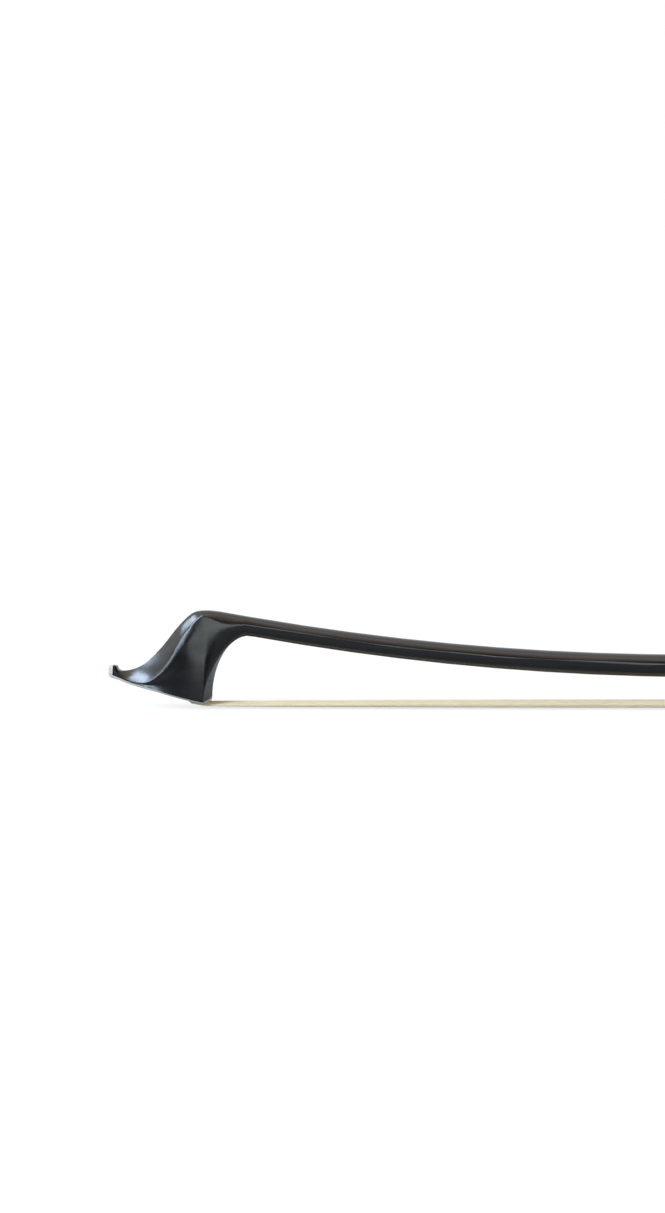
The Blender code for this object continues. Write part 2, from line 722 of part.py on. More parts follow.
def knot(length):
    """The bound end of the hair: a short rod across the bow with rounded ends."""
    radius = KNOT_DIAMETER / 2
    profile = [(-length / 2, 0.0)]
    for step in range(1, 4):
        turn = step / 4 * math.pi / 2
        profile.append((-length / 2 + radius * 0.5 * (1 - math.cos(turn)), radius * math.sin(turn)))
    profile.append((-length / 2 + radius * 0.5, radius))
    mirrored = [(-along, r) for along, r in reversed(profile)]
    bm = turned(profile + mirrored, 16)
    bmesh.ops.rotate(bm, verts=bm.verts, cent=(0, 0, 0), matrix=Matrix.Rotation(math.pi / 2, 3, "Z"))
    return bm


def make_head_fittings(bow, thread, maple):
    """Knot and plug in the head mortise."""
    front, rear = head_mortise_span()
    bound = knot(HAIR_WIDTH_IN_MORTISE - 0.8 * MM)
    knot_x = rear - HAIR_SETBACK_IN_HEAD - HAIR_THICKNESS_AT_HEAD / 2 - SEAT_GAP - KNOT_DIAMETER / 2
    knot_z = plate_bed(rear) + 3.3 * MM
    move(bound, knot_x, 0.0, knot_z)
    finish(bound, "hair_knot_tip", bow, thread)

    low_x, high_x = front + SEAT_GAP, rear - HAIR_SETBACK_IN_HEAD - HAIR_THICKNESS_AT_HEAD / 2 - SEAT_GAP
    top_z = knot_z - KNOT_DIAMETER / 2 - SEAT_GAP
    bottom = [plate_bed(x) - INLAY_GAP - PLATE_THICKNESS for x in (low_x, high_x)]
    half = HEAD_MORTISE_WIDTH / 2 - SEAT_GAP
    narrow = half - MORTISE_NARROWING
    outline = [(low_x, bottom[0]), (high_x, bottom[1]), (high_x, top_z), (low_x + MORTISE_NARROWING, top_z)]
    plug = prism(outline, -half, half)
    for vertex in plug.verts:
        if vertex.co.z > top_z - 0.01 * MM:
            vertex.co.y *= narrow / half
    finish(plug, "head_plug", bow, maple)


# Frog, in the handle's frame: X along the handle from its end, Z up from its axis


def frog_bottom():
    """Level of the frog's underside, below the hair that the ferrule holds."""
    return -(HAIR_DROP + HAIR_THICKNESS_IN_FROG / 2 + INLAY_GAP + FERRULE_WALL)


def frog_front():
    return -FROG_SETBACK - FROG_LENGTH


def ferrule_front():
    return frog_front() - INLAY_GAP


def ferrule_rear():
    return ferrule_front() + FERRULE_LENGTH


def shoulder():
    """Where the frog's body starts behind the ferrule."""
    return ferrule_rear() + SEAT_GAP


def tongue_bottom():
    return -(HAIR_DROP - HAIR_THICKNESS_IN_FROG / 2 - INLAY_GAP - WEDGE_THICKNESS - SEAT_GAP)


def slide_base_top():
    """Drop below the axis of the slide's upper face."""
    return -frog_bottom() - PEARL_THICKNESS - INLAY_GAP - SLIDE_BASE_THICKNESS


def frog_mortise_span():
    front = shoulder() + FROG_MORTISE_SETBACK
    return front, front + FROG_MORTISE_LENGTH


def heel_face():
    """Top and bottom corners (x, z) of the frog's raked rear face."""
    top = (-FROG_SETBACK - HEEL_SETBACK + HEEL_RAKE, frog_bottom() + HEEL_HEIGHT)
    return top, (-FROG_SETBACK - HEEL_SETBACK, frog_bottom())


def side_half(z):
    """Half of the frog's width at a level, wider at the foot than at the edge beside the stick."""
    share = (z + FROG_EDGE_DROP) / (frog_bottom() + FROG_EDGE_DROP)
    return blend(FROG_EDGE_WIDTH, FROG_FOOT_WIDTH, share) / 2


def taper_sides(bm, drawn_half):
    """Draw a prism in or out so that its sides follow the frog's."""
    for vertex in bm.verts:
        vertex.co.y *= side_half(vertex.co.z) / drawn_half


def ferrule_outline(grow):
    """D of the ferrule's inner face grown outwards, as (y, z) points: flat below, round above."""
    inner_half = FERRULE_WIDTH / 2 - FERRULE_WALL
    inner_height = FERRULE_HEIGHT - 2 * FERRULE_WALL
    floor = frog_bottom() + FERRULE_WALL
    side = FERRULE_SIDE_HEIGHT - FERRULE_WALL
    half, low = inner_half + grow, floor - grow
    rise = inner_height - side + grow
    points = [(-half, low), (half, low)]
    for step in range(13):
        turn = math.pi * step / 12
        points.append((half * math.cos(turn), floor + side + rise * math.sin(turn)))
    return points


def channel_outline(distance, lowest=FROG_EDGE_DROP):
    """Lower facets of an octagon at a distance from the axis, from right to left, as (y, z) points."""
    corner = distance * math.tan(math.pi / 8)
    top = distance * math.sqrt(2) - lowest
    return [(top, -lowest), (corner, -distance), (-corner, -distance), (-top, -lowest)]


def underslide_bounds():
    """Distances from the axis of the underslide's inner and outer faces, and of the frog's channel."""
    inner = HANDLE_ACROSS_FLATS / 2 + SEAT_GAP
    outer = inner + UNDERSLIDE_THICKNESS
    return inner, outer, outer + INLAY_GAP


def frog_outline():
    """Side outline of the ebony body without its tongue, as (x, z) points."""
    rear = -FROG_SETBACK
    heel_top, heel_foot = heel_face()
    recess = HEEL_PLATE_THICKNESS + INLAY_GAP
    step_x = heel_foot[0] - HEEL_PLATE_LENGTH - SEAT_GAP
    edge = -FROG_EDGE_DROP
    notch_low = frog_bottom() + FERRULE_HEIGHT
    points = [(frog_front(), edge), (rear, edge)]
    lip = edge - FROG_LIP_THICKNESS
    for step in range(9):
        turn = math.pi / 2 * step / 8
        x = rear - (rear - heel_top[0]) * math.sin(turn)
        z = heel_top[1] + (lip - heel_top[1]) * math.cos(turn)
        points.append((x, z))
    points += [(heel_foot[0], frog_bottom() + recess), (step_x, frog_bottom() + recess)]
    points += [(step_x, frog_bottom()), (shoulder(), frog_bottom())]
    for step in range(10):
        turn = math.pi / 2 * step / 9
        x = shoulder() - THUMB_NOTCH_RUN * (1 - math.cos(turn))
        points.append((x, notch_low + THUMB_NOTCH_RISE * math.sin(turn)))
    points.append((frog_front(), notch_low + THUMB_NOTCH_RISE + BEAK_DROOP))
    return points


def make_frog_body(frog, ebony):
    """Body cut from an outline, with its tongue joined on and every seat cut into it."""
    drawn_half = FROG_FOOT_WIDTH / 2
    blank = prism(frog_outline(), -drawn_half, drawn_half)
    taper_sides(blank, drawn_half)
    body = finish(blank, "frog_body", frog, ebony)

    tongue_front = ferrule_front() + 0.5 * MM
    tongue = prism(ferrule_outline(-SEAT_GAP), tongue_front, shoulder() + 1.2 * MM, "X")
    for vertex in tongue.verts:
        vertex.co.z = max(vertex.co.z, tongue_bottom())
    boolean(body, finish(tongue, "tongue", frog), "UNION")

    over = channel_outline(underslide_bounds()[2], FROG_EDGE_DROP - CUTTER_RUNOUT)
    channel = prism(over, frog_front() - CUTTER_RUNOUT, -FROG_SETBACK + CUTTER_RUNOUT, "X")
    boolean(body, finish(channel, "channel", frog))

    groove = prism(slide_outline(SEAT_GAP), shoulder() - CUTTER_RUNOUT, slide_rear() + SEAT_GAP, "X")
    boolean(body, finish(groove, "slide_groove", frog))

    front, rear = frog_mortise_span()
    half = FROG_MORTISE_WIDTH / 2
    floor = -slide_base_top() - 0.4 * MM
    roof = frog_bottom() + FROG_MORTISE_DEPTH
    pocket = prism(rectangle(front, rear, floor, roof), -half, half)
    boolean(body, finish(pocket, "hair_mortise", frog))
    open_half = half + DOVETAIL_FLARE
    ahead, behind = shoulder() - 2.5 * CUTTER_RUNOUT, front + CUTTER_RUNOUT
    passage = prism(rectangle(ahead, behind, floor, tongue_bottom()), -open_half, open_half)
    boolean(body, finish(passage, "hair_passage", frog))

    boolean(body, finish(stem_hole(), "stem_hole", frog))

    for side in (1, -1):
        reach = EYE_DIAMETER / 2 + EYE_RING_WIDTH + 2 * INLAY_GAP
        recess = turned_eye(reach, EYE_THICKNESS + INLAY_GAP, side, CUTTER_RUNOUT)
        boolean(body, finish(recess, "eye_recess", frog))
    boolean(body, finish(pin_holes(heel_pin_spots() + underslide_pin_spots()), "pin_holes", frog))
    return body


def turned_eye(radius, depth, side, proud=0.0, bore=0.0):
    """A disc or ring let into one side of the frog, square to that side. Depth goes in, proud stands out."""
    z = -FROG_EDGE_DROP - EYE_HEIGHT - 1.6 * MM
    widening = side_half(frog_bottom()) - side_half(-FROG_EDGE_DROP)
    lean = math.atan(widening / (-FROG_EDGE_DROP - frog_bottom()))
    if bore:
        profile = [(-depth, bore), (-depth, radius), (proud, radius), (proud, bore)]
    else:
        profile = [(-depth, 0.0), (-depth, radius), (proud, radius), (proud, 0.0)]
    bm = turned(profile, 32)
    bmesh.ops.rotate(bm, verts=bm.verts, cent=(0, 0, 0), matrix=Matrix.Rotation(side * math.pi / 2, 3, "Z"))
    bmesh.ops.rotate(bm, verts=bm.verts, cent=(0, 0, 0), matrix=Matrix.Rotation(side * lean, 3, "X"))
    move(bm, -EYELET_SETBACK, side * side_half(z), z)
    return bm


def slide_rear():
    """Rear end of the slide's ebony base, which runs in under the heel plate."""
    return heel_face()[1][0] - HEEL_PLATE_LENGTH + 0.5 * MM


def slide_outline(grow):
    """Dovetail of the slide, wider above, as (y, z) points."""
    top = -slide_base_top() + grow
    low = frog_bottom() - (1 * MM if grow else -PEARL_THICKNESS - INLAY_GAP)
    foot = SLIDE_WIDTH / 2 + grow
    head = foot + DOVETAIL_FLARE
    neck = frog_bottom() + PEARL_THICKNESS + INLAY_GAP
    points = [(foot, neck), (head, top), (-head, top), (-foot, neck)]
    if grow:
        points = [(foot, low)] + points + [(-foot, low)]
    return points


def heel_pin_spots():
    """The pins in the heel plates: (x, z, angle about Y, length)."""
    top, foot = heel_face()
    rake = math.atan((top[0] - foot[0]) / (top[1] - foot[1]))
    spots = []
    for share in (0.28, 0.68):
        x = blend(top[0], foot[0], share) + INLAY_GAP + HEEL_PLATE_THICKNESS
        spots.append((x, blend(top[1], foot[1], share), rake, HEEL_PIN_LENGTH))
    spots.append((foot[0] - HEEL_PLATE_LENGTH / 2, frog_bottom(), math.pi / 2, HEEL_PIN_LENGTH))
    return spots


def underslide_pin_spots():
    """The pins that hold the underslide, one near each end, in the same order."""
    inner = underslide_bounds()[0]
    places = (frog_front() + UNDERSLIDE_PIN_SETBACK, -FROG_SETBACK - UNDERSLIDE_PIN_SETBACK)
    return [(x, -inner, -math.pi / 2, UNDERSLIDE_PIN_LENGTH) for x in places]


def pin_shape(spot, grow=0.0, longer=0.0):
    """A pin driven in from a place on the surface, or the wider and longer hole for it."""
    x, z, angle, length = spot
    bm = rod(PIN_DIAMETER / 2 + grow, -length - longer, longer, 12)
    turn_about_y(bm, angle)
    move(bm, x, 0.0, z)
    return bm


def pin_holes(spots):
    """The holes for several pins, as one cutter."""
    return joined([pin_shape(spot, INLAY_GAP, SEAT_GAP) for spot in spots])


def make_frog_fittings(frog, finishes):
    """Everything that the frog's body carries."""
    silver, pearl, ebony, maple, thread = finishes

    outer = ferrule_outline(FERRULE_WALL)
    inner = ferrule_outline(0.0)
    ends = (ferrule_front(), ferrule_rear())
    tube = [[(x, y, z) for y, z in outer] for x in ends]
    tube += [[(x, y, z) for y, z in inner] for x in reversed(ends)]
    finish(loft(tube, closed=True), "ferrule", frog, silver)

    wedge_low = -(HAIR_DROP - HAIR_THICKNESS_IN_FROG / 2 - INLAY_GAP)
    wedge_half = FERRULE_WIDTH / 2 - FERRULE_WALL - 0.75 * MM
    wedge_start = ferrule_front() + 0.3 * MM
    wedge_end = wedge_start + WEDGE_LENGTH
    thin_edge = wedge_low + 0.6 * WEDGE_THICKNESS
    outline = [(wedge_start, wedge_low), (wedge_end, wedge_low), (wedge_end, thin_edge)]
    outline.append((wedge_start, wedge_low + WEDGE_THICKNESS))
    finish(prism(outline, -wedge_half, wedge_half), "spreader_wedge", frog, maple)

    front, rear = frog_mortise_span()
    bound = knot(HAIR_WIDTH_IN_MORTISE - 0.4 * MM)
    plug_front = front + HAIR_SETBACK_IN_FROG + HAIR_THICKNESS_IN_FROG / 2 + SEAT_GAP
    knot_x = plug_front + KNOT_DIAMETER / 2
    knot_z = frog_bottom() + FROG_MORTISE_DEPTH - SEAT_GAP - KNOT_DIAMETER / 2
    move(bound, knot_x, 0.0, knot_z)
    finish(bound, "hair_knot_frog", frog, thread)
    plug_low = -slide_base_top() + SEAT_GAP
    plug_high = knot_z - KNOT_DIAMETER / 2 - SEAT_GAP
    plug_half = FROG_MORTISE_WIDTH / 2 - SEAT_GAP
    outline = rectangle(plug_front, rear - SEAT_GAP, plug_low, plug_high)
    finish(prism(outline, -plug_half, plug_half), "frog_plug", frog, maple)

    finish(prism(slide_outline(0.0), shoulder(), slide_rear(), "X"), "slide_base", frog, ebony)
    pearl_half = SLIDE_WIDTH / 2
    pearl_rear = heel_face()[1][0] - HEEL_PLATE_LENGTH - SEAT_GAP
    low, high = frog_bottom(), frog_bottom() + PEARL_THICKNESS
    facing = prism(rectangle(shoulder(), pearl_rear, low, high), -pearl_half, pearl_half)
    finish(facing, "pearl_slide", frog, pearl)

    top, foot = heel_face()
    gap, thick = INLAY_GAP, HEEL_PLATE_THICKNESS
    high = top[1] - thick
    outline = [(top[0] + gap, high), (top[0] + gap + thick, high), (foot[0] + gap + thick, foot[1])]
    outline.append((foot[0] + gap, foot[1]))
    back = prism(outline, -1.0, 1.0)
    taper_sides(back, 1.0)
    plate_back = finish(back, "heel_plate_back", frog, silver)
    bottom = prism(rectangle(foot[0] - HEEL_PLATE_LENGTH, foot[0] - gap, foot[1], foot[1] + thick), -1.0, 1.0)
    taper_sides(bottom, 1.0)
    plate_bottom = finish(bottom, "heel_plate_bottom", frog, silver)
    boolean(plate_back, finish(pin_holes(heel_pin_spots()[:2]), "back_pin_holes", frog))
    boolean(plate_bottom, finish(pin_holes(heel_pin_spots()[2:]), "foot_pin_holes", frog))
    for spot, word in zip(heel_pin_spots(), ("upper", "lower", "foot")):
        finish(pin_shape(spot), "heel_pin_" + word, frog, silver)

    inner_face, outer_face, _ = underslide_bounds()
    upper = channel_outline(inner_face)
    lower = channel_outline(outer_face)
    lining = prism(upper + list(reversed(lower)), frog_front(), -FROG_SETBACK, "X")
    underslide = finish(lining, "underslide", frog, silver)
    boolean(underslide, finish(stem_hole(), "underslide_stem_hole", frog))
    boolean(underslide, finish(pin_holes(underslide_pin_spots()), "underslide_pin_holes", frog))
    for spot, word in zip(underslide_pin_spots(), ("front", "rear")):
        finish(pin_shape(spot), "underslide_pin_" + word, frog, silver)

    for side, word in ((1, "left"), (-1, "right")):
        finish(turned_eye(EYE_DIAMETER / 2, EYE_THICKNESS, side), "eye_pearl_" + word, frog, pearl)
        bore = EYE_DIAMETER / 2 + INLAY_GAP
        ring = turned_eye(bore + EYE_RING_WIDTH, EYE_THICKNESS, side, 0.0, bore)
        finish(ring, "eye_ring_" + word, frog, silver)


def eyelet_foot():
    """Level of the eyelet's underside, where its corners come down to the lining."""
    lining = underslide_bounds()[0]
    return SEAT_GAP - min(lining, lining * math.sqrt(2) - EYELET_WIDTH / 2)


def stem_hole():
    """Cutter for the hole that the eyelet's stem stands in."""
    low = eyelet_foot() - EYELET_STEM_LENGTH - CUTTER_RUNOUT
    hole = rod(EYELET_STEM_DIAMETER / 2 + SEAT_GAP, low, 0.0, 20)
    turn_about_y(hole, -math.pi / 2)
    move(hole, -EYELET_SETBACK)
    return hole


def make_eyelet(frog, brass):
    """Brass nut: an arched block on the screw, and a stem that goes down into the frog."""
    half = EYELET_WIDTH / 2
    foot = eyelet_foot()
    arch = [(-half, foot), (half, foot)]
    for step in range(13):
        turn = math.pi * step / 12
        arch.append((half * math.cos(turn), half * math.sin(turn)))
    block = prism(arch, -EYELET_SETBACK - EYELET_LENGTH / 2, -EYELET_SETBACK + EYELET_LENGTH / 2, "X")
    eyelet = finish(block, "eyelet", frog, brass)
    stem = rod(EYELET_STEM_DIAMETER / 2, foot - EYELET_STEM_LENGTH, foot + CUTTER_RUNOUT, 20)
    turn_about_y(stem, -math.pi / 2)
    move(stem, -EYELET_SETBACK)
    boolean(eyelet, finish(stem, "eyelet_stem", frog), "UNION")
    bore = rod(SCREW_DIAMETER / 2 + SEAT_GAP, -EYELET_LENGTH, EYELET_LENGTH)
    move(bore, -EYELET_SETBACK)
    boolean(eyelet, finish(bore, "eyelet_bore", frog))


# Adjuster


def octagon_ring(start, end, across, chamfer, bore):
    """An eight-sided ring about the X axis, chamfered at its outer end, with a round bore."""
    def corners(radius_across, x):
        reach = radius_across / 2 / math.cos(math.pi / 8)
        angles = [math.pi / 8 + math.pi / 4 * step for step in range(8)]
        return [(x, reach * math.cos(angle), reach * math.sin(angle)) for angle in angles]

    rings = [corners(across, start), corners(across, end - chamfer), corners(across - 2 * chamfer, end)]
    return loft(rings), rod(bore, start - CUTTER_RUNOUT, end + CUTTER_RUNOUT)


def make_adjuster(adjuster, steel, silver, ebony, pearl):
    """Screw with its shaped button: ebony between two metal rings, a pearl in the end."""
    radius = SCREW_DIAMETER / 2
    shank = [
        (-SCREW_REACH, 0.0),
        (-SCREW_REACH, 0.6 * radius),
        (-SCREW_REACH + 1.5 * MM, radius),
        (SCREW_SEAT_DEPTH, radius),
        (SCREW_SEAT_DEPTH, 0.0),
    ]
    finish(turned(shank, 20), "adjuster_screw", adjuster, steel)

    start = SEAT_GAP
    end = start + BUTTON_LENGTH
    tenon = BUTTON_TENON_DIAMETER / 2
    collar_end = start + BUTTON_RING_LENGTH
    cap_start = end - BUTTON_RING_LENGTH
    waist, belly = BUTTON_WAIST_DIAMETER / 2, BUTTON_BELLY_DIAMETER / 2
    core_end = end - EYE_THICKNESS - 2 * INLAY_GAP
    middle_start, middle_end = collar_end + INLAY_GAP, cap_start - INLAY_GAP
    profile = [(start, NIPPLE_DIAMETER / 2 + SEAT_GAP), (start, tenon), (middle_start, tenon)]
    for step in range(9):
        share = step / 8
        swell = math.sin(math.pi * share)
        profile.append((blend(middle_start, middle_end, share), blend(waist, belly, swell)))
    profile += [(middle_end, tenon), (core_end, tenon), (core_end, 0.0)]
    profile += [(SCREW_SEAT_DEPTH + SEAT_GAP, 0.0), (SCREW_SEAT_DEPTH + SEAT_GAP, radius + SEAT_GAP)]
    recess_end = NIPPLE_LENGTH + SEAT_GAP
    profile += [(recess_end, radius + SEAT_GAP), (recess_end, NIPPLE_DIAMETER / 2 + SEAT_GAP)]
    finish(turned(profile, 24), "button_core", adjuster, ebony)

    bore = tenon + INLAY_GAP
    for name, low, high, chamfer in (
        ("button_collar", start, collar_end, 0.15 * MM),
        ("button_cap", cap_start, end, 0.5 * MM),
    ):
        body, hole = octagon_ring(low, high, BUTTON_ACROSS_FLATS, chamfer, bore)
        ring = finish(body, name, adjuster, silver)
        boolean(ring, finish(hole, name + "_bore", adjuster))
    eye_radius = tenon - INLAY_GAP
    finish(rod(eye_radius, core_end + INLAY_GAP, end - INLAY_GAP), "button_pearl", adjuster, pearl)


# Grip


def sleeve(name, front, rear, thickness, bow, finish_of, steps, end_share=1.0):
    """A sleeve round the handle between two places on it, thinner at its ends by the share."""
    inner = SEAT_GAP
    outer_rings, inner_rings = [], []
    for step in range(steps + 1):
        x = handle_station(blend(front, rear, step / steps))
        swell = end_share if step in (0, steps) else 1.0
        outer_rings.append(stick_ring(x, inner + thickness * swell))
        inner_rings.append(stick_ring(x, inner))
    return finish(loft(outer_rings + inner_rings[::-1], closed=True), name, bow, finish_of)


def make_grip(bow, wire, leather):
    leather_rear = frog_front() - SLIDE_TRAVEL_TO_HEAD - 2 * SEAT_GAP
    leather_front = leather_rear - LEATHER_LENGTH
    sleeve("thumb_leather", leather_front, leather_rear, LEATHER_THICKNESS, bow, leather, 8, 0.6)
    winding_rear = leather_front - SEAT_GAP
    sleeve("grip_winding", winding_rear - WINDING_LENGTH, winding_rear, WINDING_THICKNESS, bow, wire, 14)


def stand_on_ground(bow):
    """Move the whole bow so that the bottom centre of its box is at the world's origin."""
    bpy.context.view_layer.update()
    graph = bpy.context.evaluated_depsgraph_get()
    corners = []
    for obj in bpy.data.objects:
        if obj.type == "MESH" and not obj.hide_render:
            shape = obj.evaluated_get(graph)
            corners += [shape.matrix_world @ vertex.co for vertex in shape.data.vertices]
    low = Vector([min(corner[axis] for corner in corners) for axis in range(3)])
    high = Vector([max(corner[axis] for corner in corners) for axis in range(3)])
    bow.location -= Vector(((low.x + high.x) / 2, (low.y + high.y) / 2, low.z))
    bpy.context.view_layer.update()
    print("box", [round(1000 * (b - a), 2) for a, b in zip(low, high)], "mm")


def main():
    clear_scene()
    carbon = material("carbon_fibre", (34, 36, 38), 0.35)
    ivory = material("ivory_white", (237, 238, 230), 0.4)
    horsehair = material("horsehair", (218, 207, 182), 0.6)
    ebony = material("ebony", (26, 22, 20), 0.4)
    silver = material("nickel_silver", (196, 192, 184), 0.25, 1.0)
    pearl = material("mother_of_pearl", (225, 226, 222), 0.25)
    brass = material("brass", (181, 148, 82), 0.3, 1.0)
    steel = material("steel", (150, 150, 152), 0.3, 1.0)
    maple = material("maple", (205, 172, 126), 0.6)
    thread = material("waxed_thread", (150, 110, 66), 0.7)
    leather = material("leather", (38, 30, 26), 0.6)
    wire = material("silver_wire", (188, 188, 190), 0.3, 1.0)

    bow = empty("bow")
    make_stick(bow, carbon)
    make_tip_plate(bow, ivory)
    make_head_fittings(bow, thread, maple)
    make_hair(bow, horsehair)
    make_grip(bow, wire, leather)

    handle = empty("handle", bow, STICK_END, HANDLE_TILT)
    frog = empty("frog", handle)
    make_frog_body(frog, ebony)
    make_frog_fittings(frog, (silver, pearl, ebony, maple, thread))
    make_eyelet(frog, brass)
    adjuster = empty("adjuster", handle)
    make_adjuster(adjuster, steel, silver, ebony, pearl)
    stand_on_ground(bow)
    print("handle", handle.matrix_world.translation[:], "tilt", math.degrees(HANDLE_TILT))


main()
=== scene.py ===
# %% [markdown]
# A violin bow in black carbon fibre
#
# A bow draws horsehair over the strings. The stick is bent towards the hair, its head holds one end of
# the hair, and the frog at the other end slides on the handle when the screw is turned, which tightens
# the hair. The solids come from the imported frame, in metres. This script dresses them: it gives each its
# real finish, closes the small gaps that solids need between them, and makes the hair and the wire
# winding strand by strand.

import json
import math
import random

import bmesh
import bpy
from mathutils import Matrix, Vector


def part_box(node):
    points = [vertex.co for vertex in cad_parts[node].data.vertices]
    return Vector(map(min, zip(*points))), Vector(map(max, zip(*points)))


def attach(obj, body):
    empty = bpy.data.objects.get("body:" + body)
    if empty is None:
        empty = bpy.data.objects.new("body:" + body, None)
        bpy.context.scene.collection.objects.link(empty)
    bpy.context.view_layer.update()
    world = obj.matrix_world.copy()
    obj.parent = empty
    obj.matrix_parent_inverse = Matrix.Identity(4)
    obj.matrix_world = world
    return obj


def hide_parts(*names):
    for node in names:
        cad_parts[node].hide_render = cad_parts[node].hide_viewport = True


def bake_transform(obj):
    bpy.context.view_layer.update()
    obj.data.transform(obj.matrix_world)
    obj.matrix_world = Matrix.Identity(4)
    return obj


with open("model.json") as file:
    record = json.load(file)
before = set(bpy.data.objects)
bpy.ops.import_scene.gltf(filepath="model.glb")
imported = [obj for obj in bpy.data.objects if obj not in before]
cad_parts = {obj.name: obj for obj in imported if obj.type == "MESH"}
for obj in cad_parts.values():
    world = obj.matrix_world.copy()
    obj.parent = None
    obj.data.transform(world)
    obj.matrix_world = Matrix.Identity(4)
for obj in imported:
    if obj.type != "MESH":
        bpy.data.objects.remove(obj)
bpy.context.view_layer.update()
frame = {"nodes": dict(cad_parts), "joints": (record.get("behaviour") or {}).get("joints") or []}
print("nodes", len(frame["nodes"]))

# %% [markdown]
# Units and the handle's own frame
#
# The handle is straight but tilted, because the bent stick meets the line of the hair at an angle. The
# screw turns about the handle's axis, so the record's joint gives that axis. The tilt could be worked out
# for every point by hand. A matrix that carries points from the handle's frame (X along the handle, zero
# at the end of the stick) to the world does it once.

# %% Handle frame
MM = 0.001

screw_joint = next(joint for joint in frame["joints"] if joint["name"] == "screw_turn")
towards_button = -Vector(screw_joint["axis"]).normalized()
HANDLE_TILT = math.atan2(towards_button.z, towards_button.x)
HANDLE = Matrix.Translation(screw_joint["pos_m"]) @ Matrix.Rotation(-HANDLE_TILT, 4, "Y")
print("handle tilted", round(math.degrees(HANDLE_TILT), 3), "degrees")

# %% [markdown]
# Helpers for materials
#
# Colours are easier to pick as sRGB hex values, but the shader works in linear light, so one function
# turns the first into the second. Another adds a node: its own settings go in by name, and each input
# takes either a value or the output of an earlier node, which links it. Patterns are thought of in
# millimetres and drawn in metres, so the size of a feature is turned into repeats a metre.

# %% Colour and node helpers
# Most values of a noise texture lie between these
NOISE_LOW, NOISE_HIGH = 0.3, 0.7


def linear_colour(hex_colour):
    """Linear RGBA of an sRGB hex colour."""
    channels = []
    for start in (1, 3, 5):
        share = int(hex_colour[start : start + 2], 16) / 255
        channels.append(share / 12.92 if share <= 0.04045 else ((share + 0.055) / 1.055) ** 2.4)
    return (*channels, 1.0)


def new_material(name):
    """A material with a Principled shader: the material, its tree and the shader."""
    made = bpy.data.materials.new(name)
    made.use_nodes = True
    return made, made.node_tree, made.node_tree.nodes["Principled BSDF"]


def add_node(tree, kind, inputs=None, stops=None, **settings):
    """Add a node with its settings. An input takes a value, or an output that is linked to it."""
    node = tree.nodes.new(kind)
    for name, value in settings.items():
        setattr(node, name, value)
    for name, value in (inputs or {}).items():
        if isinstance(value, bpy.types.NodeSocket):
            tree.links.new(value, node.inputs[name])
        else:
            node.inputs[name].default_value = value
    if stops:
        ramp = node.color_ramp
        while len(ramp.elements) < len(stops):
            ramp.elements.new(0.5)
        for element, (position, hex_colour) in zip(ramp.elements, stops):
            element.position = position
            element.color = linear_colour(hex_colour)
    return node


def object_pattern(tree, sizes_mm, turn=(0.0, 0.0, 0.0)):
    """Object coordinates for a texture whose features have these sizes in mm along X, Y and Z."""
    repeats = tuple(1.0 / (size * MM) for size in sizes_mm)
    where = add_node(tree, "ShaderNodeTexCoord")
    inputs = {"Vector": where.outputs["Object"], "Rotation": turn, "Scale": repeats}
    return add_node(tree, "ShaderNodeMapping", inputs).outputs["Vector"]


def set_shader(tree, shader, **inputs):
    """Set or link the shader's sockets, named with underscores for spaces."""
    for name, value in inputs.items():
        socket = shader.inputs[name.replace("_", " ")]
        if isinstance(value, bpy.types.NodeSocket):
            tree.links.new(value, socket)
        else:
            socket.default_value = value


print("helpers ready")

# %% [markdown]
# Moulded carbon fibre
#
# The stick is laid up from carbon fibre in epoxy and moulded, then flatted to a satin. All its fibres run
# along the stick, so the surface is near black with faint streaks. Stretched noise gives both the
# streaks' colour and their slight unevenness of gloss. A single fibre, under 0.01 mm, is too fine to
# show, so each streak stands for a bundle, half a millimetre wide and a few centimetres long.

# %% Carbon fibre
STREAK_SIZE = (22.2, 0.455, 0.455)
GLOSS_CLOUD_SIZE = (16.7, 3.85, 3.85)


def carbon_fibre():
    """Satin epoxy over lengthwise fibres: near black, with soft and slightly streaked highlights."""
    made, tree, shader = new_material("moulded_carbon_fibre")
    streaks = add_node(
        tree,
        "ShaderNodeTexNoise",
        {"Vector": object_pattern(tree, STREAK_SIZE), "Scale": 1.0, "Detail": 3.0, "Roughness": 0.6},
    )
    clouds = add_node(
        tree,
        "ShaderNodeTexNoise",
        {"Vector": object_pattern(tree, GLOSS_CLOUD_SIZE), "Scale": 1.0, "Detail": 2.0},
    )
    colour = add_node(
        tree,
        "ShaderNodeValToRGB",
        {"Fac": streaks.outputs["Fac"]},
        stops=[(0.35, "#070809"), (0.55, "#0c0d0e"), (0.7, "#161718")],
    )
    gloss = add_node(
        tree,
        "ShaderNodeMapRange",
        {
            "Value": clouds.outputs["Fac"],
            "From Min": NOISE_LOW,
            "From Max": NOISE_HIGH,
            "To Min": 0.17,
            "To Max": 0.24,
        },
    )
    bump = add_node(
        tree,
        "ShaderNodeBump",
        {"Height": streaks.outputs["Fac"], "Strength": 0.12, "Distance": 0.05 * MM},
    )
    set_shader(
        tree,
        shader,
        Base_Color=colour.outputs["Color"],
        Roughness=gloss.outputs["Result"],
        Normal=bump.outputs["Normal"],
        IOR=1.55,
        Specular_IOR_Level=0.7,
    )
    return made


CARBON_FIBRE = carbon_fibre()
print(CARBON_FIBRE.name)

# %% [markdown]
# Ivory-like plastic
#
# The tip plate is white plastic that imitates ivory. It is smooth and lets a little light in, so its edges
# look soft. A plain white would look like paint: a trace of mottling from polishing, about a millimetre
# across, and a little subsurface light make it a solid plate.

# %% Ivory-like plastic
PLATE_MOTTLE_SIZE = (3.33, 1.11, 1.11)


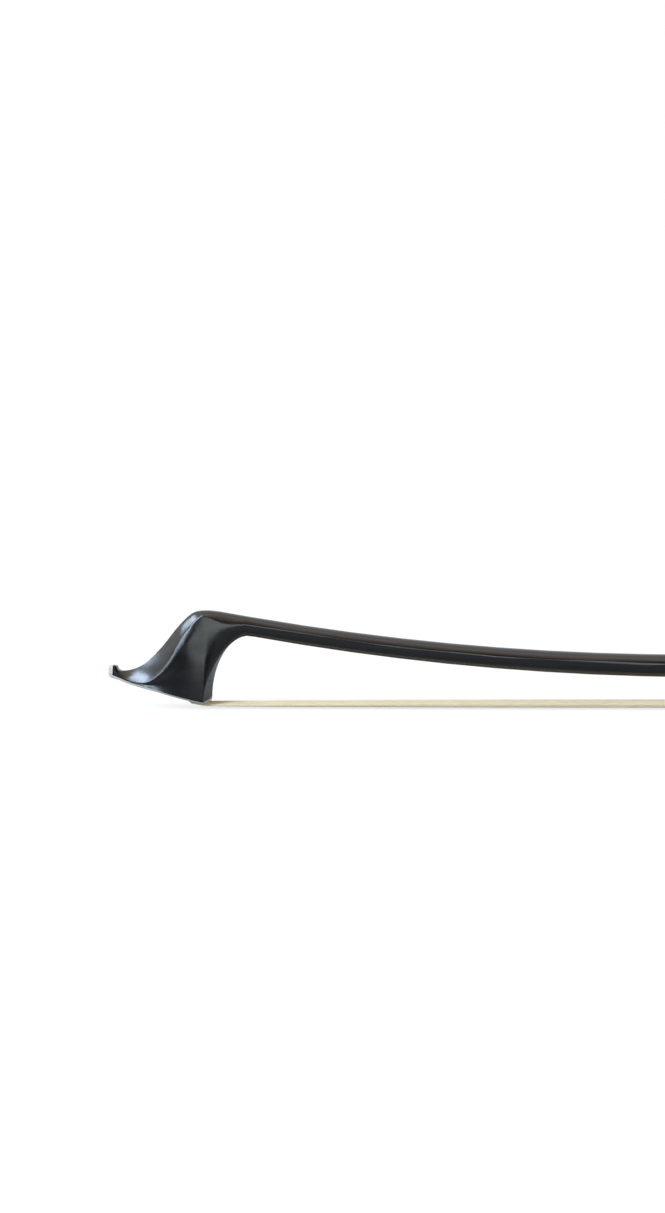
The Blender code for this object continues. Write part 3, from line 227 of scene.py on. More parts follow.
def moulded_ivory_plastic():
    """Polished white plastic: creamy, softly shining, and soft at its edges where light gets in."""
    made, tree, shader = new_material("moulded_ivory_plastic")
    mottle = add_node(
        tree,
        "ShaderNodeTexNoise",
        {"Vector": object_pattern(tree, PLATE_MOTTLE_SIZE), "Scale": 1.0, "Detail": 4.0},
    )
    colour = add_node(
        tree,
        "ShaderNodeValToRGB",
        {"Fac": mottle.outputs["Fac"]},
        stops=[(0.3, "#d6d5cc"), (0.7, "#e1e0d8")],
    )
    bump = add_node(
        tree,
        "ShaderNodeBump",
        {"Height": mottle.outputs["Fac"], "Strength": 0.08, "Distance": 0.05 * MM},
    )
    set_shader(
        tree,
        shader,
        Base_Color=colour.outputs["Color"],
        Normal=bump.outputs["Normal"],
        Roughness=0.38,
        IOR=1.5,
        Subsurface_Weight=0.15,
        Subsurface_Scale=0.6 * MM,
    )
    return made


IVORY_PLASTIC = moulded_ivory_plastic()
print(IVORY_PLASTIC.name)

# %% [markdown]
# Ebony
#
# Frog and button are turned and carved from ebony, oiled and polished. The wood is black with fine brown
# pores along the grain, which runs with the bow. Two noises make it: one as long and thin as pores, and a
# wide one that lets them show in some bands and hides them in others. The real pores are finer, and are
# drawn 0.4 mm wide so that they show.

# %% Ebony
PORE_SIZE = (7.14, 0.385, 0.385)
GRAIN_BAND_SIZE = (55.6, 4.17, 4.17)


def polished_ebony():
    """Oiled and polished ebony: brown-black, with short pores along the bow that break its shine."""
    made, tree, shader = new_material("polished_ebony")
    pores = add_node(
        tree,
        "ShaderNodeTexNoise",
        {"Vector": object_pattern(tree, PORE_SIZE), "Scale": 1.0, "Detail": 5.0, "Roughness": 0.65},
    )
    bands = add_node(
        tree,
        "ShaderNodeTexNoise",
        {"Vector": object_pattern(tree, GRAIN_BAND_SIZE), "Scale": 1.0, "Detail": 2.0},
    )
    mixed = add_node(
        tree,
        "ShaderNodeMath",
        {0: pores.outputs["Fac"], 1: bands.outputs["Fac"]},
        operation="MULTIPLY",
    )
    colour = add_node(
        tree,
        "ShaderNodeValToRGB",
        {"Fac": mixed.outputs["Value"]},
        stops=[(0.16, "#0f0c0b"), (0.3, "#1a1411"), (0.42, "#33261d")],
    )
    bump = add_node(
        tree,
        "ShaderNodeBump",
        {"Height": pores.outputs["Fac"], "Strength": 0.15, "Distance": 0.04 * MM},
    )
    set_shader(
        tree,
        shader,
        Base_Color=colour.outputs["Color"],
        Normal=bump.outputs["Normal"],
        Roughness=0.3,
        IOR=1.5,
        Coat_Weight=0.2,
        Coat_Roughness=0.15,
    )
    return made


EBONY = polished_ebony()
print(EBONY.name)

# %% [markdown]
# Maple
#
# Small plugs and a wedge hold the hair in head, frog and ferrule. They are cut from maple with a knife and
# are never polished. Noise that is long along the grain and slightly bent gives the soft tan figure.

# %% Maple
MAPLE_GRAIN_SIZE = (2.0, 8.33, 1.11)


def bare_maple():
    """Unfinished maple: pale tan and matt, with a soft darker grain."""
    made, tree, shader = new_material("bare_maple")
    grain = add_node(
        tree,
        "ShaderNodeTexNoise",
        {"Vector": object_pattern(tree, MAPLE_GRAIN_SIZE), "Scale": 1.0, "Detail": 4.0, "Distortion": 0.4},
    )
    colour = add_node(
        tree,
        "ShaderNodeValToRGB",
        {"Fac": grain.outputs["Fac"]},
        stops=[(0.35, "#b8935f"), (0.65, "#d7b98a")],
    )
    bump = add_node(
        tree,
        "ShaderNodeBump",
        {"Height": grain.outputs["Fac"], "Strength": 0.2, "Distance": 0.05 * MM},
    )
    set_shader(
        tree,
        shader,
        Base_Color=colour.outputs["Color"],
        Normal=bump.outputs["Normal"],
        Roughness=0.65,
    )
    return made


MAPLE = bare_maple()
print(MAPLE.name)

# %% [markdown]
# Horsehair
#
# Bleached horsehair differs from hair to hair. One colour for all would make the ribbon look like tape, so
# each strand carries a number in an attribute that picks its tone, and noise clouds that tone a little
# along the strand.

# %% Horsehair
HAIR_CLOUD_SIZE = (3.85, 0.667, 0.667)


def bleached_horsehair():
    """Bleached hair: cream, each strand in its own tone, with a soft sheen."""
    made, tree, shader = new_material("bleached_horsehair")
    tone = add_node(tree, "ShaderNodeAttribute", attribute_name="strand_tone")
    along = add_node(
        tree,
        "ShaderNodeTexNoise",
        {"Vector": object_pattern(tree, HAIR_CLOUD_SIZE), "Scale": 1.0, "Detail": 2.0},
    )
    mixed = add_node(
        tree,
        "ShaderNodeMath",
        {0: along.outputs["Fac"], 1: 0.25, 2: tone.outputs["Fac"]},
        operation="MULTIPLY_ADD",
    )
    colour = add_node(
        tree,
        "ShaderNodeValToRGB",
        {"Fac": mixed.outputs["Value"]},
        stops=[(0.1, "#d9c698"), (0.35, "#edd9ae"), (0.75, "#f6e5c3"), (1.0, "#fcf0d8")],
    )
    set_shader(
        tree,
        shader,
        Base_Color=colour.outputs["Color"],
        Roughness=0.42,
        IOR=1.55,
        Subsurface_Weight=0.2,
        Subsurface_Scale=0.3 * MM,
    )
    return made


HORSEHAIR = bleached_horsehair()
print(HORSEHAIR.name)

# %% [markdown]
# Metals
#
# Ferrule, heel plates and rings are nickel silver: a copper alloy, polished by hand, that stays slightly
# warm. The winding is silver-plated wire. The eyelet is brass and the screw is steel; both show only when
# the frog comes off, and carry the fine rings that a lathe leaves. They differ only in colour, gloss and
# the shape of their marks, so one function makes all four.

# %% Metals
# Roughness of the smoothest and the dullest places, as shares of the metal's own
SMOOTHEST, DULLEST = 0.8, 1.35


def worked_metal(name, hex_colour, roughness, mark_size, depth):
    """A worked metal: bright, with a gloss that varies with the marks of its working."""
    made, tree, shader = new_material(name)
    marks = add_node(
        tree,
        "ShaderNodeTexNoise",
        {"Vector": object_pattern(tree, mark_size), "Scale": 1.0, "Detail": 4.0, "Roughness": 0.6},
    )
    gloss = add_node(
        tree,
        "ShaderNodeMapRange",
        {
            "Value": marks.outputs["Fac"],
            "From Min": NOISE_LOW,
            "From Max": NOISE_HIGH,
            "To Min": roughness * SMOOTHEST,
            "To Max": roughness * DULLEST,
        },
    )
    bump = add_node(
        tree,
        "ShaderNodeBump",
        {"Height": marks.outputs["Fac"], "Strength": 0.1, "Distance": depth},
    )
    set_shader(
        tree,
        shader,
        Base_Color=linear_colour(hex_colour),
        Metallic=1.0,
        Roughness=gloss.outputs["Result"],
        Normal=bump.outputs["Normal"],
    )
    return made


POLISHING_MARK_SIZE = (6.25, 0.417, 1.43)
WIRE_MARK_SIZE = (1.11, 1.11, 1.11)
LATHE_RING_SIZE = (0.417, 3.33, 3.33)

NICKEL_SILVER = worked_metal("polished_nickel_silver", "#cfcabd", 0.2, POLISHING_MARK_SIZE, 0.02 * MM)
SILVER_WIRE = worked_metal("drawn_silver_wire", "#cfd0d2", 0.26, WIRE_MARK_SIZE, 0.02 * MM)
BRASS = worked_metal("turned_brass", "#b5944f", 0.3, LATHE_RING_SIZE, 0.03 * MM)
STEEL = worked_metal("turned_steel", "#9a9b9e", 0.3, LATHE_RING_SIZE, 0.03 * MM)
print(NICKEL_SILVER.name, SILVER_WIRE.name, BRASS.name, STEEL.name)

# %% [markdown]
# Mother-of-pearl
#
# Shell is laid down in thin wavy sheets. Where the polished face cuts across them, bands of faint green,
# pink and cream follow one another a millimetre or so apart. A wave texture gives the bands, which at
# scale 1 lie a tenth of pi apart, and noise bends them; a clear coat gives the wet look of polished shell.

# %% Mother-of-pearl
WAVE_BAND = math.pi / 10
SHELL_SIZE = (4.17, 2.38, 2.38)
SHELL_TURN = (0.3, 0.5, 0.2)
PEARL_BAND_WIDTH = 1.008


def polished_mother_of_pearl():
    """Polished shell: cream with bent bands of faint green and pink, under a wet gloss."""
    made, tree, shader = new_material("polished_mother_of_pearl")
    at = object_pattern(tree, SHELL_SIZE, SHELL_TURN)
    warp = add_node(
        tree,
        "ShaderNodeTexNoise",
        {"Vector": at, "Scale": 1.0, "Detail": 3.0, "Distortion": 1.6},
    )
    band_scale = WAVE_BAND * SHELL_SIZE[0] / PEARL_BAND_WIDTH
    bands = add_node(
        tree,
        "ShaderNodeTexWave",
        {"Vector": at, "Scale": band_scale, "Distortion": 9.0, "Detail": 2.0, "Detail Scale": 1.5},
    )
    mixed = add_node(
        tree,
        "ShaderNodeMath",
        {0: bands.outputs["Fac"], 1: 0.55, 2: warp.outputs["Fac"]},
        operation="MULTIPLY_ADD",
    )
    colour = add_node(
        tree,
        "ShaderNodeValToRGB",
        {"Fac": mixed.outputs["Value"]},
        stops=[
            (0.35, "#b9c8c4"),
            (0.5, "#dfe6dc"),
            (0.62, "#eee8e2"),
            (0.74, "#e3d0d6"),
            (0.88, "#cfdcd9"),
            (1.0, "#f3f0e8"),
        ],
    )
    bump = add_node(
        tree,
        "ShaderNodeBump",
        {"Height": bands.outputs["Fac"], "Strength": 0.06, "Distance": 0.05 * MM},
    )
    set_shader(
        tree,
        shader,
        Base_Color=colour.outputs["Color"],
        Normal=bump.outputs["Normal"],
        Roughness=0.22,
        IOR=1.6,
        Coat_Weight=0.6,
        Coat_Roughness=0.05,
    )
    return made


PEARL = polished_mother_of_pearl()
print(PEARL.name)

# %% [markdown]
# Leather
#
# The thumb leather is thin calf or lizard grain, dyed black and worn shiny where the thumb sits. Cells of
# a Voronoi texture about 0.6 mm across make the grain, because they have the pebbles' rounded tops, and
# noise makes the wear.

# %% Leather
PEBBLE_SIZE = (0.667, 0.588, 0.588)
WEAR_SIZE = (8.33, 5.0, 5.0)


def grained_leather():
    """Thin dyed leather: black-brown and pebbled, shinier where it is worn."""
    made, tree, shader = new_material("grained_calf_leather")
    cells = add_node(
        tree,
        "ShaderNodeTexVoronoi",
        {"Vector": object_pattern(tree, PEBBLE_SIZE), "Scale": 1.0},
        feature="SMOOTH_F1",
    )
    wear = add_node(
        tree,
        "ShaderNodeTexNoise",
        {"Vector": object_pattern(tree, WEAR_SIZE), "Scale": 1.0, "Detail": 3.0},
    )
    colour = add_node(
        tree,
        "ShaderNodeValToRGB",
        {"Fac": wear.outputs["Fac"]},
        stops=[(0.35, "#15100e"), (0.7, "#2a1f1a")],
    )
    gloss = add_node(
        tree,
        "ShaderNodeMapRange",
        {
            "Value": wear.outputs["Fac"],
            "From Min": NOISE_LOW,
            "From Max": NOISE_HIGH,
            "To Min": 0.62,
            "To Max": 0.42,
        },
    )
    bump = add_node(
        tree,
        "ShaderNodeBump",
        {"Height": cells.outputs["Distance"], "Strength": 0.5, "Distance": 0.12 * MM},
        invert=True,
    )
    set_shader(
        tree,
        shader,
        Base_Color=colour.outputs["Color"],
        Roughness=gloss.outputs["Result"],
        Normal=bump.outputs["Normal"],
        IOR=1.45,
    )
    return made


LEATHER = grained_leather()
print(LEATHER.name)

# %% [markdown]
# Waxed thread
#
# Both ends of the hair are bound into hard knots with waxed thread. The knots hide in their mortises, so
# single turns need no shape of their own: a fine wave across the bow draws them, 0.3 mm apart. It also
# paints shade into the grooves between the turns and light onto their crests.

# %% Waxed thread
THREAD_SIZE = (1.0, 1.0, 1.0)
THREAD_SPACING = 0.3


def waxed_thread():
    """Bound thread: brown turns side by side, with painted shade between them, painted light on their
    crests and a dull shine.
    """
    made, tree, shader = new_material("waxed_linen_thread")
    turns = add_node(
        tree,
        "ShaderNodeTexWave",
        {
            "Vector": object_pattern(tree, THREAD_SIZE),
            "Scale": WAVE_BAND * THREAD_SIZE[1] / THREAD_SPACING,
            "Distortion": 0.6,
        },
        bands_direction="Y",
    )
    # Painted shade and light: the wave that raises the turns also darkens the grooves between them and
    # lightens their crests
    colour = add_node(
        tree,
        "ShaderNodeValToRGB",
        {"Fac": turns.outputs["Fac"]},
        stops=[(0.1, "#5b3c1f"), (0.8, "#a87c4c")],
    )
    bump = add_node(
        tree,
        "ShaderNodeBump",
        {"Height": turns.outputs["Fac"], "Strength": 0.6, "Distance": 0.1 * MM},
    )
    set_shader(
        tree,
        shader,
        Base_Color=colour.outputs["Color"],
        Normal=bump.outputs["Normal"],
        Roughness=0.55,
    )
    return made


THREAD = waxed_thread()
print(THREAD.name)

# %% [markdown]
# Finishes for the solids themselves
#
# The knots, the frog's plug, the wedge, the slide, the eyelet and the screw hide inside the head, the frog
# or the handle. A copy of their own would never be seen, so they keep their solids and only take a finish.
# The solids of winding and hair take theirs too, although strands replace them later.


# %% Finish the solids
def finish_node(name, finish):
    """Give a CAD node its material."""
    slots = frame["nodes"][name].data.materials
    slots.clear()
    slots.append(finish)


NODE_FINISHES = {
    "hair_knot_tip": THREAD,
    "hair_knot_frog": THREAD,
    "frog_plug": MAPLE,
    "slide_base": EBONY,
    "spreader_wedge": MAPLE,
    "eyelet": BRASS,
    "adjuster_screw": STEEL,
    "grip_winding": SILVER_WIRE,
    "hair_ribbon": HORSEHAIR,
}
for node_name, node_finish in NODE_FINISHES.items():
    finish_node(node_name, node_finish)
print("finished solids", len(NODE_FINISHES))

# %% [markdown]
# Shaping a copy of a solid
#
# The frame's meshes are loose triangles with hard facets. For what shows, a copy is merged and its flat
# faces are made whole again. Growing it by a tenth of a millimetre closes the gap that two solids keep
# between them, so that an inlay sits tight in its recess. Its sharp edges then get the small rounding that
# sanding and polishing leave: a bevel of two segments is enough at this size.

# %% Helpers that shape a copy
MERGE_DISTANCE = 0.002 * MM
FLAT_WITHIN = math.radians(0.5)
SHARP_ABOVE = math.radians(30.0)
ROUNDING_SEGMENTS = 2


def merged_copy(node):
    """A bmesh of a CAD node with its loose triangles joined into whole faces."""
    bm = bmesh.new()
    bm.from_mesh(frame["nodes"][node].data)
    bmesh.ops.remove_doubles(bm, verts=bm.verts, dist=MERGE_DISTANCE)
    bmesh.ops.dissolve_limit(bm, angle_limit=FLAT_WITHIN, verts=bm.verts, edges=bm.edges)
    return bm


def grow(bm, distance):
    """Move every face outwards by a distance."""
    bm.normal_update()
    moves = [(vertex, vertex.normal * distance * vertex.calc_shell_factor()) for vertex in bm.verts]
    for vertex, step in moves:
        vertex.co += step


def round_edges(bm, radius):
    """Round the edges where two faces meet sharply."""
    sharp = [edge for edge in bm.edges if edge.is_manifold and edge.calc_face_angle() > SHARP_ABOVE]
    bmesh.ops.bevel(
        bm,
        geom=sharp,
        offset=radius,
        offset_type="OFFSET",
        affect="EDGES",
        segments=ROUNDING_SEGMENTS,
        profile=0.5,
        material=-1,
        clamp_overlap=True,
    )


print("shaping helpers ready")

# %% [markdown]
# Making the copy a piece
#
# A shaped copy becomes an object that rides on its body and takes its finish. Curved faces are shaded
# smooth and true edges stay sharp, by the angle between faces. Weighted normals keep the large flat faces
# flat beside their narrow roundings. The piece then stands for the node, which is hidden.


# %% Helpers that make a piece
def make_piece(bm, name, finish, body, smooth_angle=35.0):
    """Turn a bmesh into a piece that rides on a body."""
    mesh = bpy.data.meshes.new(name)
    bm.to_mesh(mesh)
    bm.free()
    mesh.shade_smooth()
    mesh.set_sharp_from_angle(angle=math.radians(smooth_angle))
    mesh.materials.append(finish)
    made = bpy.data.objects.new(name, mesh)
    bpy.context.scene.collection.objects.link(made)
    weighted = made.modifiers.new("even_normals", "WEIGHTED_NORMAL")
    weighted.keep_sharp = True
    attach(made, body)
    return made


def dress(node, finish, body, slot, growth=0.0, rounding=0.0, smooth_angle=35.0):
    """Replace a CAD node by its merged, grown and rounded copy."""
    bm = merged_copy(node)
    if growth:
        grow(bm, growth)
    if rounding:
        round_edges(bm, rounding)
    made = make_piece(bm, node + "_dressed", finish, body, smooth_angle)
    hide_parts(node)
    return made


print("piece helpers ready")

# %% [markdown]
# Stick and head
#
# Stick and head are one moulding, so they stay one skin. Its facets are fine enough to shade smooth; the
# eight-sided handle keeps its edges, because they are sharper than the smoothing angle. The cheeks of the
# real head are not flat: they swell by under half a millimetre between plate and crest. That hardly moves
# the outline, but it turns the light, so that a pale wall shows high on the cheek and fades to black below.

# %% Dress the stick
CHEEK_SWELL = 0.12
CHEEK_MIDDLE = 13.0 * MM
CHEEK_HALF_HEIGHT = 11.0 * MM
CHEEK_START = -366.0 * MM
CHEEK_FULL = (-348.0 * MM, -345.0 * MM)
CHEEK_END = -336.0 * MM
STICK_SMOOTH_ANGLE = 32.0


def ease(value, start, end):
    """A smooth rise from 0 to 1 between two places."""
    share = min(max((value - start) / (end - start), 0.0), 1.0)
    return share * share * (3.0 - 2.0 * share)


def swell_cheeks(bm):
    """Widen the head most at the middle of its height, and not at all at plate, crest, nose and throat."""
    for vertex in bm.verts:
        height = (vertex.co.z - CHEEK_MIDDLE) / CHEEK_HALF_HEIGHT
        if vertex.co.x > CHEEK_END or abs(height) > 1.0:
            continue
        along = ease(vertex.co.x, CHEEK_START, CHEEK_FULL[0]) * ease(vertex.co.x, CHEEK_END, CHEEK_FULL[1])
        vertex.co.y *= 1.0 + CHEEK_SWELL * (1.0 - height * height) * along


stick_bm = merged_copy("stick")
swell_cheeks(stick_bm)
stick_skin = make_piece(
    stick_bm, "stick_dressed", CARBON_FIBRE, "stick", STICK_SMOOTH_ANGLE
)
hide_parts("stick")
print("stick", len(stick_skin.data.polygons), "faces")

# %% [markdown]
# Tip plate
#
# The plate is glued to the head, with no gap. Growing the whole plate would thicken it, so only the faces
# that meet the head move: its upper faces rise, and the inner face of its nose cap is drawn in. Its edges
# are softened as a polished plate's are.

# %% Dress the tip plate
PLATE_GAP = 0.19 * MM
PLATE_ROUNDING = 0.16 * MM
# A vertex belongs to a face that meets the head if its normal leans this far towards it
FACES_HEAD = 0.45
NOSE_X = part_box("stick")[0].x

plate_bm = merged_copy("tip_plate")
plate_bm.normal_update()
raised = [vertex for vertex in plate_bm.verts if vertex.normal.z > FACES_HEAD and vertex.co.x > NOSE_X]
drawn_in = [vertex for vertex in plate_bm.verts if vertex.normal.x > FACES_HEAD and vertex.co.x < NOSE_X]
for vertex in raised:
    vertex.co.z += PLATE_GAP
for vertex in drawn_in:
    vertex.co.x += PLATE_GAP
round_edges(plate_bm, PLATE_ROUNDING)
plate_skin = make_piece(plate_bm, "tip_plate_dressed", IVORY_PLASTIC, "stick")
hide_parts("tip_plate")
print("plate raised", len(raised), "drawn in", len(drawn_in))

# %% [markdown]
# Frog, ferrule, plates, eyes and button
#
# The frog is ebony with a metal ferrule, heel plates, pins and pearl inlays; the button is ebony between
# two metal rings, with a pearl in its end. They are all dressed the same way, and differ only in finish,
# growth and rounding, so a table and a loop do it, for the plug in the head too. Inlays grow until they
# sit tight.

# %% Dress the frog and the button
TIGHT = 0.09 * MM
# Node, finish, body, slot, growth, rounding
DRESSED = [
    ("head_plug", MAPLE, "stick", "maple", 0.05 * MM, 0.0),
    ("frog_body", EBONY, "frog", "ebony", 0.0, 0.18 * MM),
    ("ferrule", NICKEL_SILVER, "frog", "nickel_silver", 0.0, 0.1 * MM),
    ("pearl_slide", PEARL, "frog", "mother_of_pearl", TIGHT, 0.08 * MM),
    ("underslide", NICKEL_SILVER, "frog", "nickel_silver", 0.0, 0.05 * MM),
    ("heel_plate_back", NICKEL_SILVER, "frog", "nickel_silver", TIGHT, 0.1 * MM),
    ("heel_plate_bottom", NICKEL_SILVER, "frog", "nickel_silver", TIGHT, 0.1 * MM),
    ("eye_pearl_left", PEARL, "frog", "mother_of_pearl", TIGHT, 0.08 * MM),
    ("eye_pearl_right", PEARL, "frog", "mother_of_pearl", TIGHT, 0.08 * MM),
    ("eye_ring_left", NICKEL_SILVER, "frog", "nickel_silver", TIGHT, 0.06 * MM),
    ("eye_ring_right", NICKEL_SILVER, "frog", "nickel_silver", TIGHT, 0.06 * MM),
    ("heel_pin_upper", NICKEL_SILVER, "frog", "nickel_silver", TIGHT, 0.04 * MM),
    ("heel_pin_lower", NICKEL_SILVER, "frog", "nickel_silver", TIGHT, 0.04 * MM),
    ("heel_pin_foot", NICKEL_SILVER, "frog", "nickel_silver", TIGHT, 0.04 * MM),
    ("underslide_pin_front", NICKEL_SILVER, "frog", "nickel_silver", TIGHT, 0.04 * MM),
    ("underslide_pin_rear", NICKEL_SILVER, "frog", "nickel_silver", TIGHT, 0.04 * MM),
    ("button_core", EBONY, "adjuster", "ebony", 0.0, 0.1 * MM),
    ("button_collar", NICKEL_SILVER, "adjuster", "nickel_silver", TIGHT, 0.12 * MM),
    ("button_cap", NICKEL_SILVER, "adjuster", "nickel_silver", TIGHT, 0.12 * MM),
    ("button_pearl", PEARL, "adjuster", "mother_of_pearl", TIGHT, 0.08 * MM),
]
for row in DRESSED:
    dress(*row)
print("dressed", len(DRESSED), "pieces")

# %% [markdown]
# Thumb leather
#
# A strip of leather is glued round the handle ahead of the frog, its ends thinned so that no step is felt.
# The solid has its shape already, so it only grows on to the handle, gets softer edges than wood or metal,
# and is shaded smooth over the handle's corners.

# %% Dress the thumb leather
leather_skin = dress(
    "thumb_leather", LEATHER, "stick", "leather", growth=0.1 * MM, rounding=0.25 * MM, smooth_angle=50.0
)
print("leather", leather_skin.name)

# %% [markdown]
# The course of the winding
#
# Fine wire is wound turn against turn on the handle, which gives grip and brings the balance towards the
# hand. A bumpy sleeve would do from afar, but its outline stays straight, so the wire is laid as a helix.
# It starts and ends where the solid sleeve does. It runs over the corners of the eight-sided handle in a
# small radius, because wire doesn't bend sharply.

# %% Where the wire runs
WIRE_DIAMETER = 0.45 * MM
WIRE_PITCH = 1.02 * WIRE_DIAMETER
WIRE_CLEARANCE = 0.42 * MM
HANDLE_ACROSS_FLATS = 8.5 * MM
CORNER_REACH = 1.045 * HANDLE_ACROSS_FLATS / 2
FACET_ANGLE = math.pi / 4
POINTS_PER_TURN = 16


def along_handle(corner):
    """Place of a box's corner along the handle, from the end of the stick."""
    return (HANDLE.inverted() @ Vector((corner.x, 0.0, corner.z))).x


def handle_reach(angle):
    """Distance from the handle's axis to a wire that runs over its facets, with rounded corners."""
    off_flat = (angle + FACET_ANGLE / 2) % FACET_ANGLE - FACET_ANGLE / 2
    at_corner = HANDLE_ACROSS_FLATS / 2 / math.cos(off_flat)
    return min(at_corner, CORNER_REACH) + WIRE_CLEARANCE


def wind(start, end):
    """Points of a helix round the handle, in the world."""
    turns = (end - start) / WIRE_PITCH
    steps = int(turns * POINTS_PER_TURN)
    points = []
    for step in range(steps + 1):
        angle = 2 * math.pi * step / POINTS_PER_TURN
        reach = handle_reach(angle)
        along = start + (end - start) * step / steps
        points.append(HANDLE @ Vector((along, reach * math.cos(angle), reach * math.sin(angle))))
    return points


winding_start, winding_end = (along_handle(corner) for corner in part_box("grip_winding"))
wire_line = wind(winding_start + WIRE_DIAMETER, winding_end - WIRE_DIAMETER)
print("winding", len(wire_line) // POINTS_PER_TURN, "turns")

# %% [markdown]
# Tubes along lines of points
#
# Wire and hair are both thin round tubes. A curve with a bevel gives them their thickness and closes their
# ends, and keeps its cross-section square to the line in every bend. It is turned into a mesh at once, so
# that many strands make one piece that can carry an attribute.

# %% Helper for wire and hair
# Bevel resolutions of a curve that give a tube this many sides
FOUR_SIDES, SIX_SIDES = 0, 1


def tube_piece(name, lines, diameter, sides_level, finish):
    """Round tubes along one or more lines of points, as one mesh."""
    curve = bpy.data.curves.new(name, "CURVE")
    curve.dimensions = "3D"
    curve.bevel_depth = diameter / 2
    curve.bevel_resolution = sides_level
    curve.use_fill_caps = True
    for line in lines:
        spline = curve.splines.new("POLY")
        spline.points.add(len(line) - 1)
        for spot, point in zip(spline.points, line):
            spot.co = (*point, 1.0)
    carrier = bpy.data.objects.new(name + "_line", curve)
    bpy.context.scene.collection.objects.link(carrier)
    bpy.context.view_layer.update()
    mesh = bpy.data.meshes.new_from_object(carrier)
    bpy.data.objects.remove(carrier)
    mesh.name = name
    mesh.materials.clear()
    mesh.materials.append(finish)
    mesh.shade_smooth()
    made = bpy.data.objects.new(name, mesh)
    bpy.context.scene.collection.objects.link(made)
    return made


print("tube helper ready")

# %% [markdown]
# Winding
#
# The wire's line becomes one tube that rides on the stick and replaces the solid sleeve. Six sides are
# enough for a wire half a millimetre thick, because smooth shading rounds it.

# %% Wind the wire
winding = tube_piece("wire_winding", [wire_line], WIRE_DIAMETER, SIX_SIDES, SILVER_WIRE)
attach(winding, "stick")
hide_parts("grip_winding")
print("winding", len(winding.data.polygons), "faces")

# %% [markdown]
# The course of the hair
#
# The hank is tied at both ends, fanned flat by the head's plug and by the wedge in the ferrule. Its course
# is a row of stations, each with a place, a height and half the width and depth of the ribbon. In the head
# and the frog they follow the mortises; between them they widen slowly and are thickest in the middle,
# where the hairs lie loosest. Heights and places are in millimetres here, which are easier to read.

# %% Stations of the ribbon
# In the head: mm behind its heel (below zero is inside), mm above the plate's lowest point, half width,
# half depth
HAIR_IN_HEAD = [
    (-5.3, 2.96, 2.50, 0.14),
    (-4.7, 0.93, 2.60, 0.14),
    (-3.7, 0.13, 2.85, 0.14),
    (-1.45, -0.15, 3.45, 0.15),
    (0.4, -0.39, 3.60, 0.16),
]
HAIR_UNDER_PLATE = 0.45
# Between head and ferrule: share of the way, half width, half depth
HAIR_SPAN = [
    (0.01, 3.62, 0.22),
    (0.03, 3.75, 0.36),
    (0.07, 4.00, 0.44),
    (0.13, 4.30, 0.48),
    (0.22, 4.38, 0.50),
    (0.32, 4.46, 0.50),
    (0.42, 4.54, 0.50),
    (0.52, 4.62, 0.50),
    (0.62, 4.70, 0.48),
    (0.71, 4.77, 0.45),
    (0.79, 4.82, 0.42),
    (0.86, 4.88, 0.36),
    (0.91, 4.90, 0.30),
    (0.95, 4.93, 0.25),
    (0.98, 4.95, 0.20),
]
# In the frog: mm behind the ferrule's mouth, height, half width, half depth
HAIR_IN_FROG = [
    (-0.5, 0.98, 4.90, 0.18),
    (8.6, 1.30, 3.82, 0.18),
    (13.4, 2.67, 3.10, 0.18),
]
heel_of_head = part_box("tip_plate")[1].x / MM
plate_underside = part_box("tip_plate")[0].z / MM
ferrule_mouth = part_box("ferrule")[0].x / MM


def hair_stations():
    """Stations of the ribbon in mm, from the knot in the head to the one in the frog."""
    stations = [(heel_of_head + behind, plate_underside + up, *rest) for behind, up, *rest in HAIR_IN_HEAD]
    span_start = plate_underside - HAIR_UNDER_PLATE
    first, last = stations[-1], (ferrule_mouth + HAIR_IN_FROG[0][0], *HAIR_IN_FROG[0][1:])
    for share, half_width, half_depth in HAIR_SPAN:
        along = first[0] + (last[0] - first[0]) * share
        height = span_start + (last[1] - span_start) * share
        stations.append((along, height, half_width, half_depth))
    stations += [(ferrule_mouth + behind, *rest) for behind, *rest in HAIR_IN_FROG]
    return stations


HAIR_STATIONS = hair_stations()
print("stations", len(HAIR_STATIONS), "over", round(HAIR_STATIONS[-1][0] - HAIR_STATIONS[0][0], 1), "mm")

# %% [markdown]
# One hair
#
# A hair goes from one knot to the other and keeps its place in the ribbon, but wanders a little, as hair
# does that isn't under full tension. It sways to one side by its own amount, and weaves and rises in slow
# waves. All of that dies away towards head and ferrule, where the hair is held. Amounts are in millimetres.

# %% Lay one hair
HAIR_SWAY = 0.16
HAIR_WEAVE = 0.1
WEAVE_LENGTH = 70.0
HAIR_RISE = 0.07
RISE_LENGTH = 95.0


def lay_hair(place, layer, rng):
    """Points of one hair, at a place across the ribbon from -1 to 1 and a layer from -1 to 1."""
    sway = rng.uniform(-1, 1)
    phase = rng.uniform(0, 2 * math.pi)
    points = []
    for along, height, half_width, half_depth in HAIR_STATIONS:
        way = (along - heel_of_head) / (ferrule_mouth - heel_of_head)
        free = math.sin(math.pi * min(max(way, 0.0), 1.0)) ** 0.5
        drift = free * (HAIR_SWAY * sway + HAIR_WEAVE * math.sin(along / WEAVE_LENGTH + phase))
        lift = free * HAIR_RISE * math.sin(along / RISE_LENGTH + 2 * phase)
        points.append(Vector((along, half_width * place + drift, height + half_depth * layer + lift)) * MM)
    return points


print("one hair has", len(lay_hair(0.0, 0.0, random.Random(0))), "points")

# %% [markdown]
# Hair
#
# A bow carries some hundred and sixty hairs, which lie in a few layers. The ribbon is thinner at its edges,
# so the layers draw together there. A seed makes the draws the same each time. Each hair gets a tone of its
# own.

# %% Make the ribbon of hair
HAIR_COUNT = 168
HAIR_DIAMETER = 0.2 * MM
HAIR_LAYERS = 3
HAIR_SEED = 7
PLACE_JITTER = 0.4
LAYER_JITTER = 0.25
EDGE_THINNING = 0.8
TONE_MIDDLE = 0.5
TONE_SPREAD = 0.2


